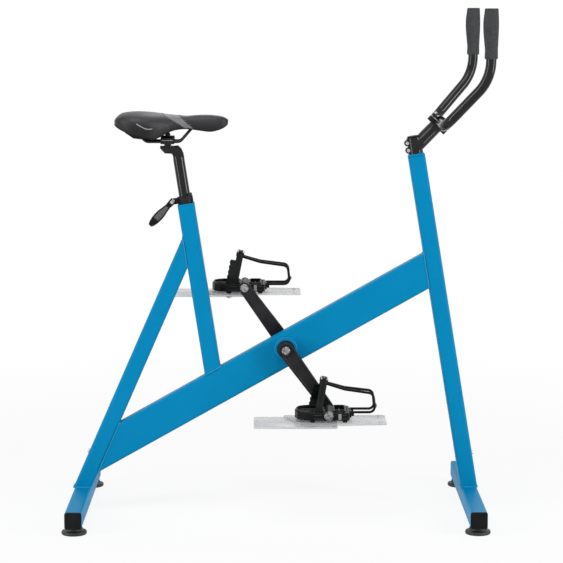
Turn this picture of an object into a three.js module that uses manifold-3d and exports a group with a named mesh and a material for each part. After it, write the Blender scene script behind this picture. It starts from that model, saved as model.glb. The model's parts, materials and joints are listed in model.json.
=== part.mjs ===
// Water exercise bike that stands on a pool floor.
// Square steel tubes make the frame, and a height-adjustable saddle, a bent handlebar and a
// crank with paddle pedals are fixed to it.
// Units are millimetres. +X is forward, +Y is the rider's left and +Z is up.
// The origin is on the floor, under the middle of the whole bike.

import * as THREE from 'three';
import { mergeVertices } from 'three/addons/utils/BufferGeometryUtils.js';
import Module from 'manifold-3d';

const wasm = await Module();
wasm.setup();

// Clearances and cutting overruns
const gap = 0.3;
const overrun = 4;
const trimReach = 2000;

// Frame tubes
const tubeSide = 40;
const tubeWall = 2;
const tubeCorner = 5;
const beamHeight = 80;

// Frame layout in side view, from the middle of the base
const baseSpan = 933.6;
const baseWidth = 566;
const footHeight = 17.5;
const bracketForward = 24;
const bracketHeight = 396.8;
const bracketLift = 2.2;
const beamLean = -60.65;
const postLean = 9.4;
const postLength = 816.5;
const seatLean = 8.8;
const seatTubeBack = 195.5;
const seatTubeLength = 450;
const legJoin = 366.6;

// End caps and feet
const capFlange = 3;
const capPlug = 18;
const capEdge = 1;
const capWall = 3;
const footInset = 32;
const footRadius = 29.5;
const footRim = 9;
const footEdge = 2;
const footNeckRadius = 19;
const footNeckRise = 5;
const footStudRadius = 5;
const footStudRise = 12;

// Plugs screwed into the leg and the post
const plugHeight = 78;
const plugHeadRadius = 5.5;
const plugHeadThickness = 4;
const plugCrownShare = 0.65;
const plugShankRadius = 3;
const plugShankLength = 10;

// Bottom bracket
const shellRadius = 26;
const shellLength = 68;
const shellWall = 5;
const cupDepth = 16;
const cupLip = 1.5;
const spindleRadius = 10;
const spindleSquare = 13;
const spindleCorner = 2;
const spindleInset = 2;

// Cranks
const crankLength = 170;
const crankRootWidth = 38;
const crankTipWidth = 28;
const crankThickness = 14;
const crankOffset = 40;
const crankEdge = 2;
const crankAngle = 35.9;
const crankBoltHeadRadius = 10.5;
const crankBoltHeadThickness = 5.7;
const crankBoltRadius = 4;
const crankBoltLength = 12;
const crankBoltSocket = 5;
const crankBoltSocketDepth = 3;
const boltEdge = 1;

// Pedals
const pedalOffset = 60;
const pedalWidth = 100;
const pedalFront = 49.5;
const pedalRear = 79;
const pedalTop = 6.5;
const pedalBottom = 11.5;
const pedalRearCorner = 42;
const pedalFrontCorner = 8;
const pedalAxleWeb = 14;
const windowSideWall = 13;
const windowRearWall = 6;
const windowFrontWall = 12;
const windowCorner = 6;
const windowRoundShare = 0.8;
const rimHeight = 3.5;
const rimWidth = 3;
const bladePadRadius = 6;
const bladePadHeight = 4.4;
const bladePadSpread = 38;
const axleHeadRadius = 10;
const axleHeadThickness = 4;
const axleThreadRadius = 7;
const axleCollarRadius = 9.5;
const axleRadius = 6;
const axleDiscRadius = 11;
const axleDiscThickness = 5;
const axleTubeRadius = 10;

// Paddle blades under each pedal
const bladeThickness = 4;
const bladeInner = 62;
const bladeOuter = 192;
const bladeFrontOuter = 168;
const bladeFrontReach = 136;
const bladeSlantInner = 108;
const bladeSlantOuter = 59;
const bladeRearReach = 176;
const bladeRearFront = 20;
const bladeCorner = 6;

// Toe clip and strap
const clipRodRadius = 3;
const clipBottomRise = 4;
const clipBottomSpread = 23;
const clipFront = 110;
const clipFrontTop = 105;
const clipFrontRise = 48;
const clipFrontSpread = 20;
const clipKneeForward = 38;
const clipKneeRise = 57;
const clipKneeSpread = 15;
const clipTopForward = -6;
const clipTopRise = 70;
const clipTopSpread = 9;
const clipBendRadius = 13;
const clipKneeBendRadius = 40;
const clipFootThickness = 4;
const clipFootTop = 5.5;
const clipFootBottom = 8.5;
const clipBarRise = 17;
const clipBarRadius = 2.5;
const buckleLength = 19;
const buckleWidth = 28;
const buckleHeight = 15;
const buckleRoof = 4;
const strapWidth = 16;
const strapThickness = 2.4;
const strapLean = 8.5;
const strapFootBack = 22;
const strapSpread = 43;
const strapSink = 4;
const strapKneeRise = 22;
const strapTopSpread = 16;
const strapCrest = 81;
const strapKneeBendRadius = 30;
const strapTopBendRadius = 13;
const tailWidth = 14;
const tailScallop = 2.2;
const tailBottom = 12;
const tailTop = 60;
const tailSteps = 10;

// Seat tube sleeve, collar and quick-release lever
const seatPostRadius = 13.6;
const seatPostWall = 2;
const sleeveDepth = 70;
const sleeveNeckRadius = 15.2;
const sleeveNeckHeight = 16;
const collarWall = 2.6;
const collarHeight = 18;
const collarSlot = 3;
const collarEarHeight = 14;
const collarEarWidth = 18;
const skewerBack = 32;
const skewerRadius = 3;
const skewerHeadRadius = 7;
const skewerHeadThickness = 6;
const skewerWasherThickness = 2;
const camRadius = 7.5;
const camCheek = 3.4;
const camPinRadius = 4;
const camPinLength = 14.6;
const leverLean = 136.7;
const leverLength = 77;
const leverRoot = 5.2;
const leverNeckWidth = 13;
const leverNeckAt = 15;
const leverPaddleAt = 40;
const leverPaddleWidth = 19;
const leverTipWidth = 9;
const leverThickness = 5;
const leverBendRadius = 3.5;

// Seat post head and saddle clamp, from the middle of the clamp at the rails' height
const clampRise = 150.2;
const clampSetback = 19.2;
const seatPostLength = 320;
const seatPostTopDrop = 32;
const seatPostPlug = 15;
const headWidth = 26;
const headTopDrop = 10.7;
const headRear = 18;
const headLength = 57.2;
const headDepth = 29.3;
const headEdge = 3;
const rockerDrop = 8;
const rockerRadius = 8;
const clampLength = 32;
const clampHalfWidth = 27;
const clampLowerDepth = 5.7;
const clampUpperEdge = 8;
const clampCrownWidth = 24;
const rockerHalfWidth = 12;
const clampUpperHeight = 13;
const clampBoltRadius = 3;
const clampBoltHeadRadius = 5;
const clampBoltHeadTop = 14.3;
const clampBoltHeadThickness = 5.5;
const clampNutRadius = 6.2;
const clampNutHeight = 8;
const nutShoulderShare = 0.75;
const nutCrownShare = 0.35;
const clampTilt = 12;

// Saddle
const railRadius = 3.5;
const railSpread = 22;
const railRearSpread = 26;
const railRearRise = 20;
const railFrontRise = 34;
const railFrontSpread = 9;
const railNoseSpread = 6;
const railBendRadius = 14;
const railNoseBendRadius = 5.9;
const saddleLength = 268;
const saddleWidth = 150;
const saddleCrown = 71;
const saddleRecess = 44;
const saddleSkirt = 3;
const saddleLip = 2;

// Stem, from the top of the post along its axis
const steererRadius = 12.7;
const steererWall = 2.5;
const postPlate = 6;
const postPlateEdge = 3;
const stemClampRadius = 17.5;
const stemClampHeight = 38.5;
const stemReach = 65.7;
const stemRise = 62.7;
const stemNeckRise = 15;
const stemNeckRadius = 17;
const stemTipRadius = 16.5;
const stemEarBack = 17;
const stemEarRadius = 7.5;
const stemEarHalfWidth = 10;
const stemSlot = 2.4;
const pinchLow = 10;
const pinchHigh = 27.5;
const stemBoltRadius = 2.5;
const stemBoltHeadRadius = 4.25;
const stemBoltHeadLength = 5;
const stemBoltSocket = 2.2;
const stemBoltSocketDepth = 2.5;
const stemBoltEnd = 1.5;
const barClampRadius = 17;
const barClampWidth = 46;
const barClampSplit = 1.5;
const barLugOffset = 21;
const barLugRadius = 6.5;
const barLugLength = 13;
const barLugWidth = 16;
const faceLugLength = 8;
const capRadius = 15;
const capThickness = 4;
const capEdgeRound = 1.5;
const capPlugDepth = 8;

// Handlebar, from the middle of the bar clamp
const barRadius = 12;
const barWall = 2;
const barElbow = 170;
const barReach = 99.3;
const barSpread = 222;
const barKneeRise = 110.8;
const barTop = 266.5;
const barElbowBendRadius = 45;
const barKneeBendRadius = 100;
const gripBottom = 156;
const gripTop = 270;
const gripFootRadius = 15;
const gripBellyRadius = 18.7;
const gripHeadRadius = 15.9;
const gripEdge = 1.5;

// Facet counts
const fineSides = 24;
const roundSides = 18;
const smallSides = 12;
const rodSides = 10;
const hexSides = 6;
const cornerSteps = 2;
const bendSteps = 4;

// Finishes
function finish(colour, roughness, metalness) {
  return new THREE.MeshStandardMaterial({ color: colour, roughness, metalness, flatShading: true });
}
const bluePaint = finish(0x0a82bc, 0.35, 0.1);
const blackAlloy = finish(0x26282b, 0.35, 0.6);
const blackPlastic = finish(0x1c1e20, 0.55, 0);
const blackRubber = finish(0x232425, 0.8, 0);
const greyFoam = finish(0x404446, 0.9, 0);
const saddleVinyl = finish(0x3a3b3f, 0.6, 0);
const brightSteel = finish(0xc4c6c8, 0.25, 0.9);
const clearBlade = finish(0xc9cacb, 0.3, 0);

// Directions and lines in side view
const degrees = THREE.MathUtils.degToRad;
const forward = new THREE.Vector3(1, 0, 0);
const leftward = new THREE.Vector3(0, 1, 0);
const upward = new THREE.Vector3(0, 0, 1);

// Unit direction that leans rearward from the vertical
function leaning(lean) {
  return new THREE.Vector3(-Math.sin(degrees(lean)), 0, Math.cos(degrees(lean)));
}

// Front side of a tube that runs in this direction
function frontOf(direction) {
  return leftward.clone().cross(direction);
}

function along(start, direction, distance) {
  return start.clone().addScaledVector(direction, distance);
}

// Point where a line meets the plane through a point with the given normal
function meeting(start, direction, planePoint, normal) {
  const distance = planePoint.clone().sub(start).dot(normal) / direction.dot(normal);
  return along(start, direction, distance);
}

// Pose with its Z along a direction in side view and its Y to the left
function poseAt(origin, direction) {
  return new THREE.Matrix4().makeBasis(frontOf(direction), leftward, direction).setPosition(origin);
}

// Outlines
function arc(centreX, centreY, radius, from, to, steps) {
  return Array.from({ length: steps + 1 }, (_, step) => {
    const angle = degrees(from + ((to - from) * step) / steps);
    return new THREE.Vector2(centreX + radius * Math.cos(angle), centreY + radius * Math.sin(angle));
  });
}

function roundedRectangle(width, height, corner, steps = cornerSteps) {
  const x = width / 2 - corner;
  const y = height / 2 - corner;
  return [
    ...arc(x, y, corner, 0, 90, steps),
    ...arc(-x, y, corner, 90, 180, steps),
    ...arc(-x, -y, corner, 180, 270, steps),
    ...arc(x, -y, corner, 270, 360, steps),
  ];
}

// Outline extruded from one height to another, with its long edges chamfered by `edge`
function extruded(outline, from, to, edge = 0) {
  const options = { depth: to - from - 2 * edge, bevelEnabled: edge > 0, bevelSegments: 1 };
  Object.assign(options, { bevelThickness: edge, bevelSize: edge, bevelOffset: -edge });
  return new THREE.ExtrudeGeometry(new THREE.Shape(outline), options).translate(0, 0, from + edge);
}

// Outline in plan (X, Y), extruded upward
const upFrom = extruded;

// Outline in side view (X, Z), extruded across the bike
function acrossFrom(outline, from, to, edge = 0) {
  return extruded(outline, -to, -from, edge).rotateX(Math.PI / 2);
}

// Outline seen from the front (Y, Z), extruded forward
function forwardFrom(outline, from, to) {
  const turn = new THREE.Matrix4().makeBasis(leftward, upward, forward);
  return extruded(outline, from, to).applyMatrix4(turn);
}

// Solids of revolution: the profile is a list of [radius, height]
function turned(profile, sides = roundSides) {
  const points = profile.map(([radius, height]) => new THREE.Vector2(radius, height));
  return new THREE.LatheGeometry(points, sides).rotateX(Math.PI / 2);
}

function post(radius, from, to, sides = roundSides) {
  return turned([[0, from], [radius, from], [radius, to], [0, to]], sides);
}

// Turned profile with its axis across the bike: heights run outward on the given side
function turnedAcross(profile, side, sides = roundSides) {
  return turned(profile, sides).rotateX((-side * Math.PI) / 2);
}

function crossPin(radius, from, to, sides = roundSides) {
  return turnedAcross([[0, from], [radius, from], [radius, to], [0, to]], 1, sides);
}

function block(low, high) {
  const size = high.map((value, axis) => value - low[axis]);
  const middle = high.map((value, axis) => (value + low[axis]) / 2);
  return new THREE.BoxGeometry(...size).translate(...middle);
}

// Range between two distances from the middle, on one side of it
function span(side, near, far) {
  return side > 0 ? [near, far] : [-far, -near];
}

// Solids that can be joined and cut
function signedVolume(mesh) {
  const corner = [0, 1, 2].map(() => new THREE.Vector3());
  let sum = 0;
  for (let i = 0; i < mesh.triVerts.length; i += 3) {
    corner.forEach((point, k) => point.fromArray(mesh.vertProperties, 3 * mesh.triVerts[i + k]));
    sum += corner[0].dot(corner[1].clone().cross(corner[2]));
  }
  return sum;
}

function solidOf(geometry) {
  const bare = geometry.clone();
  bare.deleteAttribute('normal');
  bare.deleteAttribute('uv');
  const merged = mergeVertices(bare);
  const mesh = {
    numProp: 3,
    vertProperties: Float32Array.from(merged.attributes.position.array),
    triVerts: Uint32Array.from(merged.index.array),
  };
  if (signedVolume(mesh) < 0) {
    mesh.triVerts.reverse();
  }
  return new wasm.Manifold(new wasm.Mesh(mesh));
}

function asSolid(shape) {
  return shape.isBufferGeometry ? solidOf(shape) : shape;
}

function join(...shapes) {
  return shapes.map(asSolid).reduce((whole, next) => whole.add(next));
}

function cut(body, ...tools) {
  return tools.map(asSolid).reduce((whole, tool) => whole.subtract(tool), asSolid(body));
}

function geometryOf(solid) {
  const mesh = solid.getMesh();
  const geometry = new THREE.BufferGeometry();
  geometry.setAttribute('position', new THREE.BufferAttribute(mesh.vertProperties, 3));
  geometry.setIndex(new THREE.BufferAttribute(mesh.triVerts, 1));
  geometry.computeVertexNormals();
  return geometry;
}

function piece(name, shape, material) {
  const mesh = new THREE.Mesh(geometryOf(asSolid(shape)), material);
  mesh.name = name;
  return mesh;
}

function group(...children) {
  return new THREE.Group().add(...children);
}

// Block that fills everything beyond a plane, for trimming a tube to its neighbour
function beyond(point, normal) {
  const half = trimReach / 2;
  const filler = block([-half, -half, 0], [half, half, trimReach]);
  return filler.applyMatrix4(poseAt(point, normal));
}

// Routes: straight runs joined by round bends, as a list of stations with a point and a heading
function bendStations(before, corner, after, radius, steps) {
  const incoming = corner.clone().sub(before).normalize();
  const outgoing = after.clone().sub(corner).normalize();
  const turn = incoming.angleTo(outgoing);
  const tangent = radius * Math.tan(turn / 2);
  const start = along(corner, incoming, -tangent);
  const inward = outgoing.clone().addScaledVector(incoming, -outgoing.dot(incoming)).normalize();
  return Array.from({ length: steps + 1 }, (_, step) => {
    const angle = (turn * step) / steps;
    const point = along(start, incoming, radius * Math.sin(angle));
    const heading = incoming.clone().multiplyScalar(Math.cos(angle));
    heading.addScaledVector(inward, Math.sin(angle));
    return { point: along(point, inward, radius * (1 - Math.cos(angle))), heading };
  });
}

function route(corners, radii, steps = bendSteps) {
  const last = corners.length - 1;
  const first = { point: corners[0], heading: corners[1].clone().sub(corners[0]).normalize() };
  const bends = radii.flatMap((radius, index) =>
    bendStations(corners[index], corners[index + 1], corners[index + 2], radius, steps));
  const heading = corners[last].clone().sub(corners[last - 1]).normalize();
  return [first, ...bends, { point: corners[last], heading }];
}

// Carries a sideways direction along the stations without twisting it
function carried(stations, sideways) {
  let side = sideways.clone();
  return stations.map(({ point, heading }) => {
    side = side.clone().addScaledVector(heading, -side.dot(heading)).normalize();
    return new THREE.Matrix4().makeBasis(side, heading, side.clone().cross(heading)).setPosition(point);
  });
}

// Bends a shape whose local Y counts stations, so that it follows them
function bentAlong(geometry, stations, sideways) {
  const frames = carried(stations, sideways);
  const bent = geometry.clone();
  const position = bent.attributes.position;
  const point = new THREE.Vector3();
  for (let i = 0; i < position.count; i += 1) {
    const station = Math.round(position.getY(i));
    point.set(position.getX(i), 0, position.getZ(i)).applyMatrix4(frames[station]);
    position.setXYZ(i, point.x, point.y, point.z);
  }
  return bent;
}

function rodAlong(stations, radius, sides = rodSides) {
  const wall = stations.map((_, index) => new THREE.Vector2(radius, index));
  const profile = [new THREE.Vector2(0, 0), ...wall, new THREE.Vector2(0, stations.length - 1)];
  return bentAlong(new THREE.LatheGeometry(profile, sides), stations, upward);
}

// Pipe whose route is nowhere parallel to the X axis
function pipeAlong(stations, radius, bore, sides) {
  const outer = stations.map((_, index) => new THREE.Vector2(radius, index));
  const inner = stations.map((_, index) => new THREE.Vector2(bore, index)).reverse();
  const profile = [...outer, ...inner, outer[0]];
  return bentAlong(new THREE.LatheGeometry(profile, sides), stations, forward);
}

function bandAlong(stations, from, to, thickness) {
  const runs = stations.length - 1;
  const band = new THREE.BoxGeometry(to - from, runs, thickness, 1, runs, 1);
  band.translate((from + to) / 2, runs / 2, 0);
  return bentAlong(band, stations, forward);
}

// Side-view skeleton
const barTopHeight = footHeight + tubeSide;
const bracket = new THREE.Vector3(bracketForward, 0, bracketHeight);
const beamRun = leaning(beamLean);
const beamRoot = along(bracket, frontOf(beamRun), bracketLift);
const postFoot = new THREE.Vector3(baseSpan / 2, 0, barTopHeight);
const postRun = leaning(postLean);
const postTop = along(postFoot, postRun, postLength);
const legFoot = new THREE.Vector3(-baseSpan / 2, 0, barTopHeight);
const seatRoot = along(beamRoot, beamRun, -seatTubeBack);
const seatRun = leaning(seatLean);
const legRun = along(seatRoot, seatRun, legJoin).sub(legFoot).normalize();
const seatTop = along(seatRoot, seatRun, seatTubeLength);
const clampCentre = along(seatTop, seatRun, clampRise).setX(
  along(seatTop, seatRun, clampRise).x - clampSetback);

// Square tube along a run, open at both ends
function squareTube(start, run, length, height = tubeSide) {
  const pose = poseAt(start, run);
  const wall = upFrom(roundedRectangle(height, tubeSide, tubeCorner), 0, length);
  const inside = roundedRectangle(height - 2 * tubeWall, tubeSide - 2 * tubeWall, tubeCorner - tubeWall);
  const bore = upFrom(inside, -overrun, length + overrun);
  return cut(wall.applyMatrix4(pose), bore.applyMatrix4(pose));
}

// Face of a tube in side view: +1 is its front side and -1 its rear side
function tubeFace(root, run, side, height = tubeSide) {
  const normal = frontOf(run).multiplyScalar(side);
  return { point: along(root, normal, height / 2), normal };
}

// Trims a piece to the face of a neighbour that it is welded to
function trimmedTo(body, face) {
  return cut(body, beyond(along(face.point, face.normal, gap), face.normal.clone().negate()));
}

function mainBeam() {
  const legFace = tubeFace(legFoot, legRun, 1);
  const postFace = tubeFace(postFoot, postRun, -1);
  const rear = along(meeting(beamRoot, beamRun, legFace.point, legFace.normal), beamRun, -beamHeight);
  const front = along(meeting(beamRoot, beamRun, postFace.point, postFace.normal), beamRun, beamHeight);
  const tube = squareTube(rear, beamRun, rear.distanceTo(front), beamHeight);
  const shellHole = crossPin(shellRadius + gap, -tubeSide, tubeSide, fineSides);
  shellHole.translate(bracket.x, 0, bracket.z);
  return cut(trimmedTo(trimmedTo(tube, legFace), postFace), shellHole);
}

function seatTube() {
  const tube = squareTube(seatRoot, seatRun, seatTubeLength);
  return trimmedTo(tube, tubeFace(beamRoot, beamRun, -1, beamHeight));
}

// Threaded hole for a plug in the outer face of a tube
function plugPose(foot, run, side) {
  const start = meeting(foot, run, new THREE.Vector3(0, 0, barTopHeight + plugHeight), upward);
  return poseAt(along(start, frontOf(run), (side * tubeSide) / 2), frontOf(run).multiplyScalar(side));
}

function plugHole(foot, run, side) {
  const hole = post(plugShankRadius + gap, -tubeSide / 2, overrun, rodSides);
  return hole.applyMatrix4(plugPose(foot, run, side));
}

function rearLeg() {
  const seatFace = tubeFace(seatRoot, seatRun, -1);
  const top = along(meeting(legFoot, legRun, seatFace.point, seatFace.normal), legRun, beamHeight);
  const start = along(legFoot, legRun, -tubeSide);
  const tube = squareTube(start, legRun, start.distanceTo(top));
  const standing = trimmedTo(tube, { point: legFoot, normal: upward });
  return cut(trimmedTo(standing, seatFace), plugHole(legFoot, legRun, -1));
}

function frontPost() {
  const start = along(postFoot, postRun, -tubeSide);
  const tube = squareTube(start, postRun, start.distanceTo(postTop) - postPlate);
  const standing = trimmedTo(tube, { point: postFoot, normal: upward });
  return cut(standing, plugHole(postFoot, postRun, 1));
}

// Domed plug: a low head on the tube's face and a shank through its wall
function plug(foot, run, side) {
  const profile = [
    [0, -plugShankLength],
    [plugShankRadius, -plugShankLength],
    [plugShankRadius, gap],
    [plugHeadRadius, gap],
    [plugHeadRadius, plugHeadThickness / 2],
    [plugHeadRadius * plugCrownShare, plugHeadThickness],
    [0, plugHeadThickness],
  ];
  return asSolid(turned(profile, rodSides).applyMatrix4(plugPose(foot, run, side)));
}

// Base bars lie across the bike
function baseBar() {
  const half = baseWidth / 2 - capFlange - gap;
  const wall = acrossFrom(roundedRectangle(tubeSide, tubeSide, tubeCorner), -half, half);
  const inside = tubeSide - 2 * tubeWall;
  const bore = acrossFrom(
    roundedRectangle(inside, inside, tubeCorner - tubeWall), -half - overrun, half + overrun);
  const studHoles = [-1, 1].map((side) => {
    const hole = post(footStudRadius + gap, -tubeSide, 0, smallSides);
    return hole.translate(0, side * (baseWidth / 2 - footInset), 0);
  });
  return cut(wall, bore, ...studHoles.map(asSolid));
}

function endCap(side) {
  const face = baseWidth / 2 - capFlange;
  const fit = tubeSide - 2 * tubeWall - 2 * gap;
  const corner = tubeCorner - tubeWall;
  const square = (size) => roundedRectangle(size, size, corner);
  const flange = acrossFrom(
    roundedRectangle(tubeSide, tubeSide, tubeCorner), ...span(side, face, baseWidth / 2), capEdge);
  const insert = acrossFrom(square(fit), ...span(side, face - capPlug, face + capEdge));
  const hollow = acrossFrom(square(fit - 2 * capWall), ...span(side, face - capPlug - overrun, face));
  return cut(join(flange, insert), hollow);
}

// Round rubber foot with a stud that goes up through the bar's lower wall
function footPad() {
  const seat = footHeight - gap;
  const studTop = footHeight + tubeWall + footStudRise;
  return asSolid(turned([
    [0, 0],
    [footRadius - footEdge, 0],
    [footRadius, footEdge],
    [footRadius, footRim - footEdge],
    [footRadius - footEdge, footRim],
    [footNeckRadius + footEdge, footRim],
    [footNeckRadius, footRim + footNeckRise],
    [footNeckRadius, seat],
    [footStudRadius, seat],
    [footStudRadius, studTop],
    [0, studTop],
  ]));
}

// Bottom bracket, from its centre
function bracketShell() {
  const half = shellLength / 2;
  const bore = crossPin(shellRadius - shellWall, -half - overrun, half + overrun, fineSides);
  return cut(crossPin(shellRadius, -half, half, fineSides), bore);
}

function bearingCup(side) {
  const outer = shellRadius - shellWall - gap;
  const inner = spindleRadius + gap;
  const deep = shellLength / 2 - cupDepth;
  const face = shellLength / 2 + cupLip;
  return asSolid(turnedAcross([
    [outer, deep],
    [outer, face - cupLip / 2],
    [outer - cupLip / 2, face],
    [inner, face],
    [inner, deep],
    [outer, deep],
  ], side, fineSides));
}

function crankSpindle() {
  const end = crankOffset + crankThickness - spindleInset;
  const bolt = crankOffset + crankThickness - crankBoltLength - gap;
  const square = acrossFrom(roundedRectangle(spindleSquare, spindleSquare, spindleCorner, 1), -end, end);
  const barrel = crossPin(spindleRadius, -(crankOffset - gap), crankOffset - gap);
  const bores = [-1, 1].map((side) =>
    crossPin(crankBoltRadius + gap, ...span(side, bolt, end + overrun), rodSides));
  return cut(join(barrel, square), ...bores);
}

// Tapered crank that points up (way 1) or down (way -1) before the crankset is turned
function crankArm(side, way) {
  const end = way * crankLength;
  const root = crankRootWidth / 2;
  const tip = crankTipWidth / 2;
  const taper = THREE.MathUtils.radToDeg(Math.asin((root - tip) / crankLength));
  const outline = [
    ...arc(0, crankLength, tip, taper, 180 - taper, smallSides / 2),
    ...arc(0, 0, root, 180 - taper, 360 + taper, smallSides / 2),
  ].map((point) => point.multiplyScalar(way));
  const through = span(side, crankOffset - overrun, crankOffset + crankThickness + overrun);
  const square = spindleSquare + 2 * gap;
  return cut(
    acrossFrom(outline, ...span(side, crankOffset, crankOffset + crankThickness), crankEdge),
    acrossFrom(roundedRectangle(square, square, spindleCorner, 1), ...through),
    crossPin(axleThreadRadius + gap, ...through, smallSides).translate(0, 0, end));
}

function crankBolt(side) {
  const seat = crankOffset + crankThickness + gap;
  const top = seat + crankBoltHeadThickness;
  const tip = seat - crankBoltLength;
  return asSolid(turnedAcross([
    [0, tip],
    [crankBoltRadius, tip],
    [crankBoltRadius, seat],
    [crankBoltHeadRadius, seat],
    [crankBoltHeadRadius, top - boltEdge],
    [crankBoltHeadRadius - boltEdge, top],
    [crankBoltSocket, top],
    [crankBoltSocket, top - crankBoltSocketDepth],
    [0, top - crankBoltSocketDepth],
  ], side, roundSides));
}

// Pedal axle with its head inside the crank and its disc outside the pedal
function pedalAxle(side) {
  const headSeat = crankOffset - gap;
  const collar = crankOffset + crankThickness + gap;
  const discSeat = pedalOffset + pedalWidth + gap;
  const discTop = discSeat + axleDiscThickness;
  return asSolid(turnedAcross([
    [0, headSeat - axleHeadThickness],
    [axleHeadRadius, headSeat - axleHeadThickness],
    [axleHeadRadius, headSeat],
    [axleThreadRadius, headSeat],
    [axleThreadRadius, collar],
    [axleCollarRadius, collar],
    [axleCollarRadius, pedalOffset - gap],
    [axleRadius, pedalOffset - gap],
    [axleRadius, discSeat],
    [axleDiscRadius, discSeat],
    [axleDiscRadius, discTop - boltEdge],
    [axleDiscRadius - boltEdge, discTop],
    [0, discTop],
  ], side, smallSides));
}

// Plan outline with one corner radius at its rear and another at its front
function tray(rear, front, half, rearCorner, frontCorner, steps = cornerSteps) {
  return [
    ...arc(front - frontCorner, half - frontCorner, frontCorner, 0, 90, steps),
    ...arc(rear + rearCorner, half - rearCorner, rearCorner, 90, 180, steps + 1),
    ...arc(rear + rearCorner, rearCorner - half, rearCorner, 180, 270, steps + 1),
    ...arc(front - frontCorner, frontCorner - half, frontCorner, 270, 360, steps),
  ];
}

function rearWindow(grow) {
  const rear = -pedalRear + windowRearWall - grow;
  const half = pedalWidth / 2 - windowSideWall + grow;
  return tray(rear, grow - pedalAxleWeb, half, half * windowRoundShare, windowCorner);
}

function frontWindow(grow) {
  const front = pedalFront - windowFrontWall + grow;
  const half = pedalWidth / 2 - windowSideWall + grow;
  return tray(pedalAxleWeb - grow, front, half, windowCorner, windowCorner);
}

// Pedal cage: two windows with raised rims, an axle tube between them and pads underneath
function pedalBody() {
  const half = pedalWidth / 2;
  const cage = upFrom(
    tray(-pedalRear, pedalFront, half, pedalRearCorner, pedalFrontCorner), -pedalBottom, pedalTop, capEdge);
  const rims = [rearWindow, frontWindow].map((window) => upFrom(window(rimWidth), 0, pedalTop + rimHeight));
  const windows = [rearWindow, frontWindow].map((window) =>
    upFrom(window(0), -pedalBottom - overrun, pedalTop + rimHeight + overrun));
  const pads = [-1, 1].flatMap((end) => [-1, 1].map((edge) => {
    const pad = post(bladePadRadius, -pedalBottom - bladePadHeight, 0, rodSides);
    return pad.translate(end * bladePadSpread, edge * (half - windowSideWall / 2), 0);
  }));
  const axleTube = crossPin(axleTubeRadius, -half, half);
  const axleBore = crossPin(axleRadius + gap, -half - overrun, half + overrun, smallSides);
  return cut(join(cut(join(cage, ...rims, ...pads), ...windows), axleTube), axleBore, strapShape(gap));
}

// Rounds every corner of an outline given as [x, y] points
function softened(points, radius, steps = 2) {
  const corners = points.map(([x, y]) => new THREE.Vector3(x, y, 0));
  return corners.flatMap((corner, index) => {
    const next = corners[(index + 1) % corners.length];
    const bend = bendStations(corners.at(index - 1), corner, next, radius, steps);
    return bend.map(({ point }) => new THREE.Vector2(point.x, point.y));
  });
}

// Flat blade under a pedal, from [forward, distance from the middle of the bike] corners
function blade(side, corners, top) {
  const middle = pedalOffset + pedalWidth / 2;
  const outline = softened(corners.map(([x, y]) => [x, side * (y - middle)]), bladeCorner);
  return asSolid(upFrom(outline, top - bladeThickness, top));
}

const bladeTop = -(pedalBottom + bladePadHeight + gap);

function frontBlade(side) {
  return blade(side, [
    [-bladeSlantInner, bladeInner],
    [bladeFrontReach, bladeInner],
    [bladeFrontReach, bladeFrontOuter],
    [-bladeSlantOuter, bladeOuter],
  ], bladeTop);
}

function rearBlade(side) {
  return blade(side, [
    [-bladeRearReach, bladeInner],
    [bladeRearFront, bladeInner],
    [bladeRearFront, bladeOuter],
    [-bladeRearReach, bladeOuter],
  ], bladeTop - bladeThickness - gap);
}

// Strap: an arch over the foot that leans forward, standing in slots of the pedal
const strapPose = new THREE.Matrix4()
  .makeRotationY(degrees(strapLean))
  .setPosition(-strapFootBack, 0, 0);

function strapStations(clearance) {
  const foot = -strapSink - clearance;
  const corners = [
    [strapSpread, foot],
    [strapSpread, strapKneeRise],
    [strapTopSpread, strapCrest],
    [-strapTopSpread, strapCrest],
    [-strapSpread, strapKneeRise],
    [-strapSpread, foot],
  ].map(([y, z]) => new THREE.Vector3(0, y, z));
  const bends = [strapKneeBendRadius, strapTopBendRadius];
  return route(corners, [...bends, ...[...bends].reverse()], cornerSteps);
}

function strapShape(clearance) {
  const half = strapWidth / 2 + clearance;
  const band = bandAlong(strapStations(clearance), -half, half, strapThickness + 2 * clearance);
  return asSolid(band.applyMatrix4(strapPose));
}

// Loose end of the strap, with a scalloped rear edge, behind the arch on its inner side
function strapTail(side) {
  const stations = Array.from({ length: tailSteps + 1 }, (_, step) => {
    const z = tailBottom + ((tailTop - tailBottom) * step) / tailSteps;
    const rise = Math.max(0, (z - strapKneeRise) / (strapCrest - strapKneeRise));
    const y = strapSpread + (strapTopSpread - strapSpread) * rise;
    const slope = rise > 0 ? (strapTopSpread - strapSpread) / (strapCrest - strapKneeRise) : 0;
    const heading = new THREE.Vector3(0, -side * slope, 1).normalize();
    return { point: new THREE.Vector3(0, -side * y, z), heading };
  });
  const band = new THREE.BoxGeometry(tailWidth, tailSteps, strapThickness, 1, tailSteps, 1);
  band.translate(0, tailSteps / 2, 0);
  const position = band.attributes.position;
  for (let i = 0; i < position.count; i += 1) {
    const notch = position.getX(i) < 0 && Math.round(position.getY(i)) % 2 === 1 ? tailScallop : 0;
    position.setX(i, position.getX(i) + notch - (strapWidth + tailWidth) / 2 + boltEdge);
  }
  return bentAlong(band, stations, forward).applyMatrix4(strapPose);
}

function footStrap(side) {
  return join(strapShape(0), strapTail(side));
}

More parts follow.
